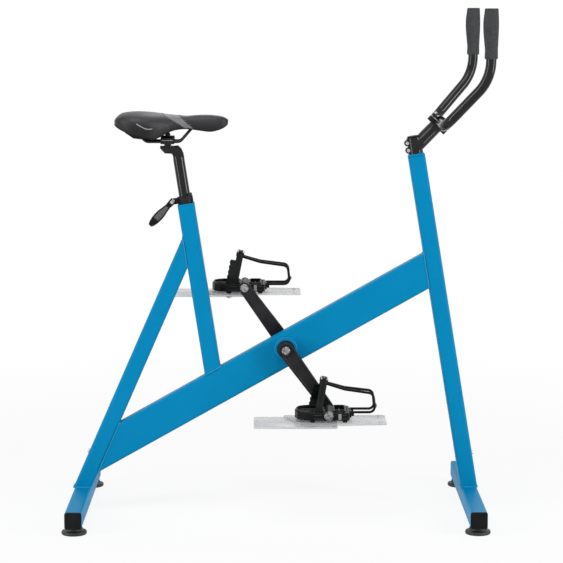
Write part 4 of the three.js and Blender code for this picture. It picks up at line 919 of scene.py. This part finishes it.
def straps():
    foot_half, top_half, knee, bend_top = 43, 16, 22.0, 81
    half = [(0, foot_half, -4), (0, foot_half, knee), (0, top_half, bend_top)]
    path = routed(mirrored(half), (30, 13, 13, 30), 5)
    edge = [(5.6, -0.8), (6.2, -1.2), (7.6, -1.1), (8, -0.6), (8, 0.6), (7.6, 1.1), (6.2, 1.2),
            (5.6, 0.8)]
    band = edge + [(-x, -y) for x, y in edge]
    arch = swept(path, lambda place: band, FORWARD)
    low, high, steps, scallops, scallop_deep, rear_edge = 4.4, 62.0, 60, 5, 1.9, -19.4

    def tail_section(place):
        end = 1 if 0 < place < steps else 0.6
        rear = rear_edge - scallop_deep * abs(math.sin(math.pi * scallops * place / steps)) * end
        thick = 1.1 * end
        return [(rear, -thick * 0.5), (rear + 0.7, -thick), (-7.2, -thick), (-6.8, 0), (-7.2, thick),
                (rear + 0.7, thick), (rear, thick * 0.5)]

    for name, side in sides.items():
        tail_path = []
        for step in range(steps + 1):
            z = low + (high - low) * step / steps
            rise = max(0.0, (z - knee) / (bend_top - knee))
            tail_path.append(Vector((0, -side * (foot_half - (foot_half - top_half) * rise), z)))
        tail = swept(tail_path, tail_section, FORWARD)
        pedal_piece("rubber_strap", name, black_plastic,
                    placed(joined(arch, tail), strap_pose), "foot_strap", 50)


straps()

# Paddle blades
# Two flat sheets of clear plastic lie one over the other under each pedal and push against
# the water. Screws with washers hold them to the pedal's underside.


def blade_look(spot):
    streaks = spot.noise(9.0, 3.0, (0.3, 2.4, 1))
    scuffs = spot.noise(180.0, 2.0, (1, 0.06, 1))
    grey, pale = (0.43, 0.44, 0.455, 1), (0.62, 0.625, 0.635, 1)
    return {
        "Base Color": streaks.ranged(0.3, 0.7).blend(grey, pale),
        "Alpha": streaks.ranged(0.2, 0.8, 0.6, 0.42),
        "Roughness": scuffs.ranged(0.3, 0.7, 0.12, 0.26),
    }


clear_sheet = finish("clear_sheet", blade_look, specular=0.5)


def blades():
    top, thick, gap, screw_out, front_screw = -16.2, 4.0, 0.3, 43.5, 122
    under = top - 2 * thick - gap
    sheets = (("front", [(-108, 62), (136, 62), (136, 168), (-59, 192)], top),
              ("rear", [(-176, 62), (20, 62), (20, 192), (-176, 192)], top - thick - gap))
    washer = turned([(0, -1.2), (6.4, -1.2), (6.8, -0.8), (6.8, 0), (0, 0)], 32)
    low_head = socketed([(0, -0.6), (4.4, -0.6), (4.4, 1.6), (3.6, 2.5), (2.6, 2.8)], 1.9, 2.8, 1.4, 30)
    top_head = socketed([(0, -0.4), (4.2, -0.4), (4.2, 1.0), (3.4, 1.7), (2.4, 1.9)], 1.7, 1.9, 1.0, 30)
    for name, side in sides.items():
        pedal_y = abs(joint_place(f"pedal_{name}_spin").y)
        for end, corners, high in sheets:
            outline = rounded([(x, side * (y - pedal_y)) for x, y in corners], 6, 8)
            pedal_piece(f"clear_blade_{end}", name, clear_sheet,
                        slab(outline, soft_layers(high - thick, high, 0.7)), f"blade_{end}", 50)
        screws = []
        for x in (-38, 12):
            for y in (-screw_out, screw_out):
                down = Matrix.Translation((x, y, under)) @ Matrix.Rotation(math.pi, 4, "X")
                screws += [placed(washer, down @ Matrix.Translation((0, 0, 1.2))),
                           placed(low_head, down @ Matrix.Translation((0, 0, 0.6)))]
        screws += [placed(top_head, Matrix.Translation((front_screw, side * y, top)))
                   for y in (-38, 42)]
        pedal_piece("blade_screws", name, bright_steel, joined(*screws), crease=40)


blades()

# Top of the seat tube
# A split plastic sleeve lines the tube and a ribbed alloy collar squeezes it on the post. A
# skewer pulls the collar's ears together when its lever, with a steel cam, is pushed down.
skewer_back, ear_middle = 32.0, 9.3
lever_pin = joint_place("qr_lever_open")
seat_top = lever_pin + front_of(seat_run) * skewer_back - seat_run * ear_middle
seat_top.y = 0
dressed(black_plastic, 0.4, "seat_tube_sleeve")
dressed(black_alloy, 0.7, "seat_collar", segments=3)
dressed(bright_steel, 0.5, "qr_bolt")


def sector(section, first, last, steps=20):
    """Part of a turned ring, from one angle to another."""
    rings = []
    for step in range(steps + 1):
        turn = math.radians(first + (last - first) * step / steps)
        rings.append([(radius * math.cos(turn), radius * math.sin(turn), z) for radius, z in section])
    return skinned(rings)


def collar_ribs():
    rib = block((17.6, -0.8, 1.8), (18.8, 0.8, 16.6))
    ribs = [placed(rib, Matrix.Rotation(math.radians(turn), 4, "Z")) for turn in range(-120, 121, 12)]
    section = [(15.6, 17.0), (18.0, 17.0), (18.0, 23.0), (17.2, 23.8), (16.2, 23.8), (15.6, 23.2)]
    lip = sector(section, -56, 56)
    shape = placed(joined(*ribs, lip), facing(seat_top, ACROSS, seat_run))
    made = piece("collar_ribs", "frame", black_alloy, shape)
    eased(made, 0.3)


collar_ribs()


# Grey alloy: the face inlaid in the lever, and a painted highlight on the stem's ridges, which are
# lighter than the black stem.
def grey_and_highlight_look(spot):
    cast = spot.noise(420.0, 4.0)
    return varied(cast.ranged(0.3, 0.7), (0.055, 0.054, 0.058), (0.12, 0.118, 0.125),
                  cast.ranged(0.3, 0.7, 0.34, 0.5), cast.bump(0.1, 0.5))


grey_alloy_and_highlight = finish("grey_alloy_and_highlight", grey_and_highlight_look, specular=0.3)


def cam_lever():
    pin_run = Vector(joints["qr_lever_open"]["axis"]).normalized()
    pose = facing(lever_pin, ACROSS, pin_run.cross(ACROSS))
    along_pin = facing(Vector(), ACROSS, FORWARD)
    half = [(7.3, 5.2), (6.3, 13), (8.2, 25), (10.3, 37), (10.8, 47), (10, 58), (8.0, 68), (4.6, 76)]
    outline = rounded(half + [(-x, z) for x, z in reversed(half)], 3, 4)
    layers = [(1.2, 2.5), (0.4, 2.2), (0, 1.4), (0, -1.4), (0.4, -2.2), (1.2, -2.5), (2.0, -2.5),
              (2.7, -1.9)]
    cheek = [(0, 3.9), (6.8, 3.9), (7.5, 4.5), (7.5, 6.7), (6.8, 7.3), (0, 7.3)]
    cheeks = [placed(turned([(radius, way * height) for radius, height in cheek], 40), along_pin)
              for way in (-1, 1)]
    grooves = [block((-wide, -2.6, z - 0.7), (wide, -1.6, z + 0.7))
               for z, wide in ((58, 5.6), (62, 5.0), (66, 4.2), (70, 3.2))]
    shape = joined(placed(slab(outline, layers), upright), *cheeks, *grooves)
    made = piece("cam_lever", "quick_release_lever", black_plastic,
                 placed(shape, pose), ["qr_lever"])
    eased(made, 0.25)
    face = rounded([(3.2, 15), (7.0, 38), (6.6, 55), (-6.6, 55), (-7.0, 38), (-3.2, 15)], 2, 5)
    inlay = placed(slab(face, [(0, -1.6), (0, -2.2), (0.5, -2.5)]), upright)
    piece("lever_inlay", "quick_release_lever", grey_alloy_and_highlight, placed(inlay, pose))
    pin = [(0, -7.6), (3.6, -7.6), (4, -7.2), (4, 7.2), (3.6, 7.6), (0, 7.6)]
    shape = placed(turned(pin, 32), pose @ along_pin)
    piece("cam_pin", "quick_release_lever", bright_steel, shape, ["qr_cam_pin"], 40)


cam_lever()

# Seat post and saddle clamp
# An alloy post with a forged head under a round rocker. The rocker and two plates grip the
# saddle's rails and are pulled together by one bolt, with a domed nut on top.


def gloss_look(spot):
    drift = spot.noise(30.0, 3.0)
    return varied(drift.ranged(0.3, 0.7), (0.0035, 0.0036, 0.004), (0.007, 0.0071, 0.0078),
                  drift.ranged(0.3, 0.7, 0.11, 0.16), spot.noise(500.0, 2.0).bump(0.012, 0.3))


black_gloss = finish("black_gloss_coat", gloss_look, specular=0.27)
dressed(black_gloss, 0.6, "seat_post", segments=3)
dressed(black_alloy, 0.7, "clamp_lower_plate", "clamp_upper_plate", segments=3)
dressed(black_alloy, 0.4, "clamp_nut")
dressed(bright_steel, 0.4, "clamp_bolt")
rail_rise = 8
rail_centre = joint_place("saddle_tilt") + UP * rail_rise
saddle_pose = Matrix.Translation(rail_centre)


def painted_clamp_highlights():
    # Painted highlight: thin dull steel strips along the outer edges of the black clamp plates stand for
    # the light line along their edges.
    strips = [block((-13, low, 2.2), (13, high, 4.0)) for low, high in ((26.6, 27.5), (-27.5, -26.6))]
    shape = placed(joined(*strips), saddle_pose)
    made = piece("clamp_highlight_strips", "saddle_clamp", dull_steel, shape)
    eased(made, 0.3)


painted_clamp_highlights()

# Saddle
# Dark vinyl is stretched over a foam pad on a moulded base and turned in under its edge. A
# lighter panel crosses it between sewn seams. Two steel rails run from the nose to the back.


def flowing(rows, steps):
    """Rows of numbers with more put between them on smooth curves."""
    made = []
    last = len(rows) - 1
    for place in range(last):
        p0, p1 = rows[max(place - 1, 0)], rows[place]
        p2, p3 = rows[place + 1], rows[min(place + 2, last)]
        for step in range(steps):
            t = step / steps
            made.append([0.5 * (2 * b + (c - a) * t + (2 * a - 5 * b + 4 * c - d) * t * t
                                + (3 * b - a - 3 * c + d) * t * t * t)
                         for a, b, c, d in zip(p0, p1, p2, p3)])
    return made + [list(rows[last])]


# Each row: place along the saddle, half width, top and lower edge, as shares of its size
saddle_length, saddle_width, saddle_crown, clamp_share = 268.0, 150.0, 71.0, 0.473
edge_share = 0.92
saddle_rows = flowing([
    (0.014, 0.56, 0.8, 0.58), (0.03, 0.7, 0.87, 0.52), (0.06, 0.82, 0.93, 0.45),
    (0.11, 0.93, 0.975, 0.36), (0.18, 1, 1, 0.26), (0.25, 1, 0.995, 0.19),
    (0.31, 0.95, 0.975, 0.13), (0.36, 0.86, 0.95, 0.11),
    (0.42, 0.71, 0.915, 0.2), (0.49, 0.55, 0.875, 0.34), (0.57, 0.43, 0.86, 0.42),
    (0.66, 0.35, 0.865, 0.43), (0.76, 0.31, 0.89, 0.38), (0.85, 0.29, 0.895, 0.34),
    (0.92, 0.26, 0.87, 0.39), (0.97, 0.2, 0.83, 0.47), (1, 0.11, 0.76, 0.56)], 3)


def cover_ring(row):
    """Section of the pad before it is blown up, set in a little at its top and sides."""
    start_inset, cover_thick, recess_least = 1.0, 3.4, 44
    shoulder_share, tuck_share, inner_share = 0.45, 0.12, 0.86
    share, width, top, skirt = row
    x = saddle_length * (share - clamp_share)
    half, top, skirt = width * saddle_width / 2, top * saddle_crown, skirt * saddle_crown
    shoulder = skirt + (top - skirt) * shoulder_share
    recess = max(skirt + 2, recess_least)
    crown = [(0.0, 1.0), (0.196, 0.994), (0.464, 0.946), (0.672, 0.85), (0.831, 0.707), (0.939, 0.51),
             (0.993, 0.24)]
    right = [((half - start_inset) * out, shoulder + (top - start_inset - shoulder) * rise)
             for out, rise in crown]
    right += [((half - start_inset) * 0.985, shoulder - tuck_share * (shoulder - skirt)),
              (half * edge_share, skirt)]
    right = flowing(right, 2) + [(half * edge_share - cover_thick, skirt),
                                 (half * inner_share - cover_thick, recess), (0, recess)]
    ring = right + [(-y, z) for y, z in reversed(right[1:-1])]
    return [(x, y, z) for y, z in ring]


def taken(made):
    """Writes what the modifiers make into the mesh."""
    evaluated = made.evaluated_get(bpy.context.evaluated_depsgraph_get())
    mesh = bpy.data.meshes.new_from_object(evaluated)
    made.modifiers.clear()
    made.data = mesh


def blown_up(made, cap, frames=20):
    """Blows a closed form up as cloth, each point by at most the cap, and makes it finer."""
    pressure, cloth_mass, underside = 4, 0.3, -0.25
    mesh = made.data
    rest = [point.co.copy() for point in mesh.vertices]
    pinned = made.vertex_groups.new(name="pinned")
    below = [point.index for point in mesh.vertices if point.normal.z < underside]
    pinned.add(below, 1.0, "REPLACE")
    cloth = made.modifiers.new("air", "CLOTH")
    cloth.settings.use_pressure = True
    cloth.settings.uniform_pressure_force = pressure
    cloth.settings.effector_weights.gravity = 0
    cloth.settings.vertex_group_mass = "pinned"
    cloth.settings.mass = cloth_mass
    for frame_number in range(1, frames + 1):
        scene.frame_set(frame_number)
    taken(made)
    for point, start in zip(made.data.vertices, rest):
        moved = point.co - start
        if moved.length > cap * MM:
            point.co = start + moved.normalized() * cap * MM
    scene.frame_set(1)
    made.vertex_groups.clear()
    finer = made.modifiers.new("finer", "SUBSURF")
    finer.levels = finer.render_levels = 1
    taken(made)
    made.data.shade_smooth()


# Each seam: its place along the bike at this height, and how far it moves back for each step up
seam_height = 957.0
rear_seam, front_seam = (-272, 1.62), (-237, 1.103)


def vinyl_look(spot):
    """Black vinyl, greyer over the middle of the top as a painted highlight, darker low down and at both
    ends as painted shade, and a light panel.
    """
    along, height = spot.axis(0), spot.axis(2)
    soft = 2 * MM

    def past(seam):
        place, slope = seam
        at = (place + slope * seam_height) * MM
        return (along + height * slope).ranged(at - soft, at + soft)

    panel = past(rear_seam) * (1 - past(front_seam))
    drift = spot.noise(26.0, 3.0)
    grain = spot.cells(1000.0)
    # Painted light: the vinyl is painted darker low down, at the rear end and at the nose as shade, and
    # greyer high on the top as a highlight, with a little random drift.
    painted_end_shade_mask = along.ranged(-0.386, -0.325) * (1 - along.ranged(-0.15, -0.118))
    painted_top_light = height.ranged(0.92, 0.953) * painted_end_shade_mask * drift.ranged(0.2, 0.8, 0.8, 1.0)
    # tone runs from the painted shade's dark colour to the painted highlight's greyer one.
    tone = painted_top_light.blend((0.0055, 0.0054, 0.0063, 1), (0.042, 0.0413, 0.0465, 1))
    light = drift.ranged(0.3, 0.7).blend((0.15, 0.145, 0.15, 1), (0.2, 0.193, 0.197, 1))
    return {
        "Base Color": panel.blend(tone, light),
        "Roughness": drift.ranged(0.3, 0.7, 0.4, 0.5),
        "Normal": grain.bump(0.05, 0.3),
    }


saddle_vinyl = finish("saddle_vinyl", vinyl_look, specular=0.28)


def saddle_pad():
    """Makes the pad and gives its surface, which seams and threads are laid on."""
    rings = [cover_ring(row) for row in saddle_rows]
    for end, way in ((0, -1), (-1, 1)):
        middle = sum((Vector(point) for point in rings[end]), Vector()) / len(rings[end])
        caps = [[middle + (Vector(point) - middle) * share + FORWARD * way * out for point in rings[end]]
                for share, out in ((0.82, 1.3), (0.5, 2.1), (0.2, 2.4))]
        rings = caps[::-1] + rings if way < 0 else rings + caps
    shape = placed(skinned(rings), saddle_pose)
    made = piece("saddle_pad", "saddle", saddle_vinyl, shape, ["saddle_cover"])
    blown_up(made, 4.5)
    corners = [point.co / MM for point in made.data.vertices]
    return BVHTree.FromPolygons(corners, [tuple(face.vertices) for face in made.data.polygons])


surface = saddle_pad()


def hit(start, way, sunk=0.2):
    """Where a line meets the pad, sunk a little into it."""
    place, normal, _, _ = surface.ray_cast(Vector(start), Vector(way))
    return place - normal * sunk if place else None


def thinned(points, least=1.6):
    """The points that were found and aren't too close to the one before."""
    kept = []
    for point in points:
        if point and (not kept or (point - kept[-1]).length > least):
            kept.append(point)
    return kept


def seam_path(seam, low=931.0, high=951.0, rows=14, half_turn=20):
    """Seam over the saddle, up one side, across the top and down the other."""
    top_place, slope = seam

    def place(z):
        return top_place - slope * (z - seam_height)

    def up_side(side):
        heights = [low + (high - low) * row / rows for row in range(rows + 1)]
        return [hit((place(z), side * 150, z), (0, -side, 0)) for z in heights]

    right, left = up_side(-1), up_side(1)
    reach = min(abs(right[-1].y), abs(left[-1].y)) - 2
    over = []
    for step in range(2 * half_turn + 1):
        x, y = top_place, reach * (step / half_turn - 1)
        for _ in range(3):
            spot = hit((x, y, 1100), (0, 0, -1))
            x = place(spot.z)
        over.append(spot)
    return thinned(right + over + left[::-1])


def stitches(path, lift, length=2.6, gap=1.8, thick=0.32):
    """Short threads laid along a path."""
    places, swell = (-0.5, -0.25, 0, 0.25, 0.5), (0.3, 0.9, 1, 0.9, 0.3)
    rings = [round_ring(thick * share, 6) for share in swell]
    made = []
    travelled = 0.0
    for before, after in zip(path, path[1:]):
        travelled += (after - before).length
        if travelled >= length + gap:
            run = (after - before).normalized()
            near, normal, _, _ = surface.find_nearest(before)
            thread = [near + normal * lift + run * length * share for share in places]
            made.append(swept(thread, lambda place: rings[place], normal))
            travelled = 0.0
    return made


def thread_look(spot):
    twist = spot.noise(900.0, 2.0)
    return varied(twist, (0.3, 0.3, 0.31), (0.52, 0.52, 0.53),
                  twist.ranged(0.2, 0.8, 0.45, 0.6), twist.bump(0.08, 0.5))


pale_thread = finish("pale_thread", thread_look, specular=0.3)


def saddle_seams():
    beside_seam, edge_sharp = 2.6, 80
    paths = [seam_path(rear_seam), seam_path(front_seam)]
    cords = [swept(path, lambda place: round_ring(0.7, 8), UP) for path in paths]
    piece("saddle_seams", "saddle", black_plastic, joined(*cords), crease=edge_sharp)
    threads = []
    for path, way in zip(paths, (-1, 1)):
        offset = FORWARD * way * beside_seam
        beside = thinned([surface.find_nearest(point + offset)[0] for point in path], 0.6)
        threads += stitches(beside, 0.1)
    piece("saddle_stitches", "saddle", pale_thread, joined(*threads), crease=edge_sharp)
    accents = []
    curve = flowing([(-331, 937), (-320, 930.5), (-309, 925), (-295, 924.5)], 8)
    for side in (-1, 1):
        path = thinned([hit((x, side * 150, z), (0, -side, 0), -0.25) for x, z in curve], 0.8)
        accents.append(swept(path, lambda place: round_ring(1.0, 8), UP))
    piece("saddle_accents", "saddle", pale_thread, joined(*accents), crease=edge_sharp)


saddle_seams()


def saddle_welt():
    inward, rise, thick = 1.2, 0.4, 1.5
    edge = []
    for side, order in ((-1, saddle_rows), (1, saddle_rows[::-1])):
        for share, width, _, skirt in order:
            out = width * saddle_width / 2 * edge_share - inward
            edge.append(Vector((saddle_length * (share - clamp_share), side * out,
                                skirt * saddle_crown + rise)))
    path = thinned([rail_centre + point for point in edge], 1.5)
    shape = swept(path, lambda place: round_ring(thick, 10), UP, True)
    piece("saddle_welt", "saddle", black_plastic, shape, crease=80)


saddle_welt()
dressed(black_plastic, 0.5, "saddle_shell")


def rails():
    half = [(-71.8, 26, 20), (-49.8, 22, 0), (30, 22, 0), (60, 9, 34), (108, 6, 34)]
    path = routed(mirrored(half), (14, 14, 14, 5.9, 5.9, 14, 14, 14), 8)
    shape = placed(swept(path, lambda place: round_ring(3.5, 20), UP), saddle_pose)
    piece("saddle_wire", "saddle", black_gloss, shape, ["saddle_rails"], 60)


rails()

# Stem
# Forged alloy with two ridges along each side of its neck. Two bolts pinch it round the
# steerer tube and two more hold a plate over the handlebar.
bar_centre = joint_place("handlebar_tilt")
stem_reach, stem_rise = 65.7, 62.7
post_top = bar_centre - front_of(post_run) * stem_reach - post_run * stem_rise
dressed(black_gloss, 1.0, "stem_body", "stem_faceplate", segments=3)
dressed(black_plastic, 0.6, "steerer_cap", segments=3)
dressed(bright_steel, 0.4, "pinch_bolt_lower", "pinch_bolt_upper")
dressed(bright_steel, 0.4, "faceplate_bolt_lower", "faceplate_bolt_upper")


def stem_ridges():
    """Two forged ridges on each side of the neck, which taper at both ends, in a grey painted lighter
    than the stem as a highlight.
    """
    root_rise, neck_radius, narrowing, spread = 15, 16.7, 0.006, 24
    root = post_top + post_run * root_rise
    run = (bar_centre - root).normalized()
    rise = run.cross(ACROSS) * -1
    reaches = range(20, 63, 2)
    last = len(reaches) - 1

    def section(place):
        swell = min(1.0, place / 3, (last - place) / 3)
        return round_ring(1.5 * (0.25 + 0.75 * swell), 12)

    ridges = []
    for side in (-1, 1):
        for turn in (math.radians(-spread), math.radians(spread)):
            out = ACROSS * side * math.cos(turn) + rise * math.sin(turn)
            path = [root + run * reach + out * (neck_radius - narrowing * reach) for reach in reaches]
            ridges.append(swept(path, section, out))
    # Painted highlight: the ridges take the grey finish, lighter than the gloss black stem, as the light
    # lines along the neck.
    piece("stem_ridges", "frame", grey_alloy_and_highlight, joined(*ridges), crease=60)


stem_ridges()

# Handlebar and grips
# One bent tube with a gloss black coat, and a closed foam sleeve on each upright end. The
# foam swells towards the rider in its middle.
bar_reach, bar_spread, bar_radius = 99.3, 222, 12


def bent_bar():
    half = [(bar_reach, bar_spread, 266.2), (bar_reach, bar_spread, 110.8), (0, 170, 0)]
    path = routed(mirrored(half), (100, 45, 45, 100), 3)
    shape = placed(swept(path, lambda place: round_ring(bar_radius, 40), FORWARD),
                   Matrix.Translation(bar_centre))
    piece("bent_bar", "handlebar", black_gloss, shape, ["handlebar"], 60)


bent_bar()


def foam_look(spot):
    cells = spot.cells(1100.0)
    mottle = spot.noise(160.0, 4.0)
    return varied(mottle.ranged(0.3, 0.7), (0.038, 0.041, 0.043), (0.058, 0.062, 0.065),
                  mottle.ranged(0.3, 0.7, 0.8, 0.92), cells.bump(0.25, 0.6))


grey_foam = finish("grey_foam", foam_look, specular=0.2)


def grips():
    low, high, narrower, front_swell, rear_swell = 156.0, 270.0, 0.985, 1.8, 4.4
    shares = flowing([(0.02, 0.16), (0.1, 0.08), (0.18, 0.02), (0.32, 0.36), (0.5, 0.82), (0.64, 1),
                      (0.78, 0.9), (0.9, 0.5), (0.975, 0.28)], 4)
    # Each ring: how far it reaches to the front and to the rear, and its height
    rings = [(12.3, 12.3, high - 6), (12.3, 12.3, low), (14.0, 14.0, low), (14.7, 14.7, low + 0.5)]
    for share, swell in shares:
        front, rear = 14.8 + front_swell * swell, 14.6 + rear_swell * swell
        rings.append((front, rear, low + (high - low) * share))
    rings += [(15.1, 15.5, high - 1.4), (14.4, 14.8, high - 0.5), (13, 13.3, high), (0.01, 0.01, high)]
    sleeve = skinned([[((front - rear) / 2 + x, y * narrower, z)
                       for x, y in round_ring((front + rear) / 2, 48)] for front, rear, z in rings])
    for name, side in sides.items():
        pose = Matrix.Translation(bar_centre + Vector((bar_reach, side * bar_spread, 0)))
        made = piece(f"foam_grip_{name}", "handlebar", grey_foam,
                     placed(sleeve, pose), [f"grip_{name}"], 50)


grips()
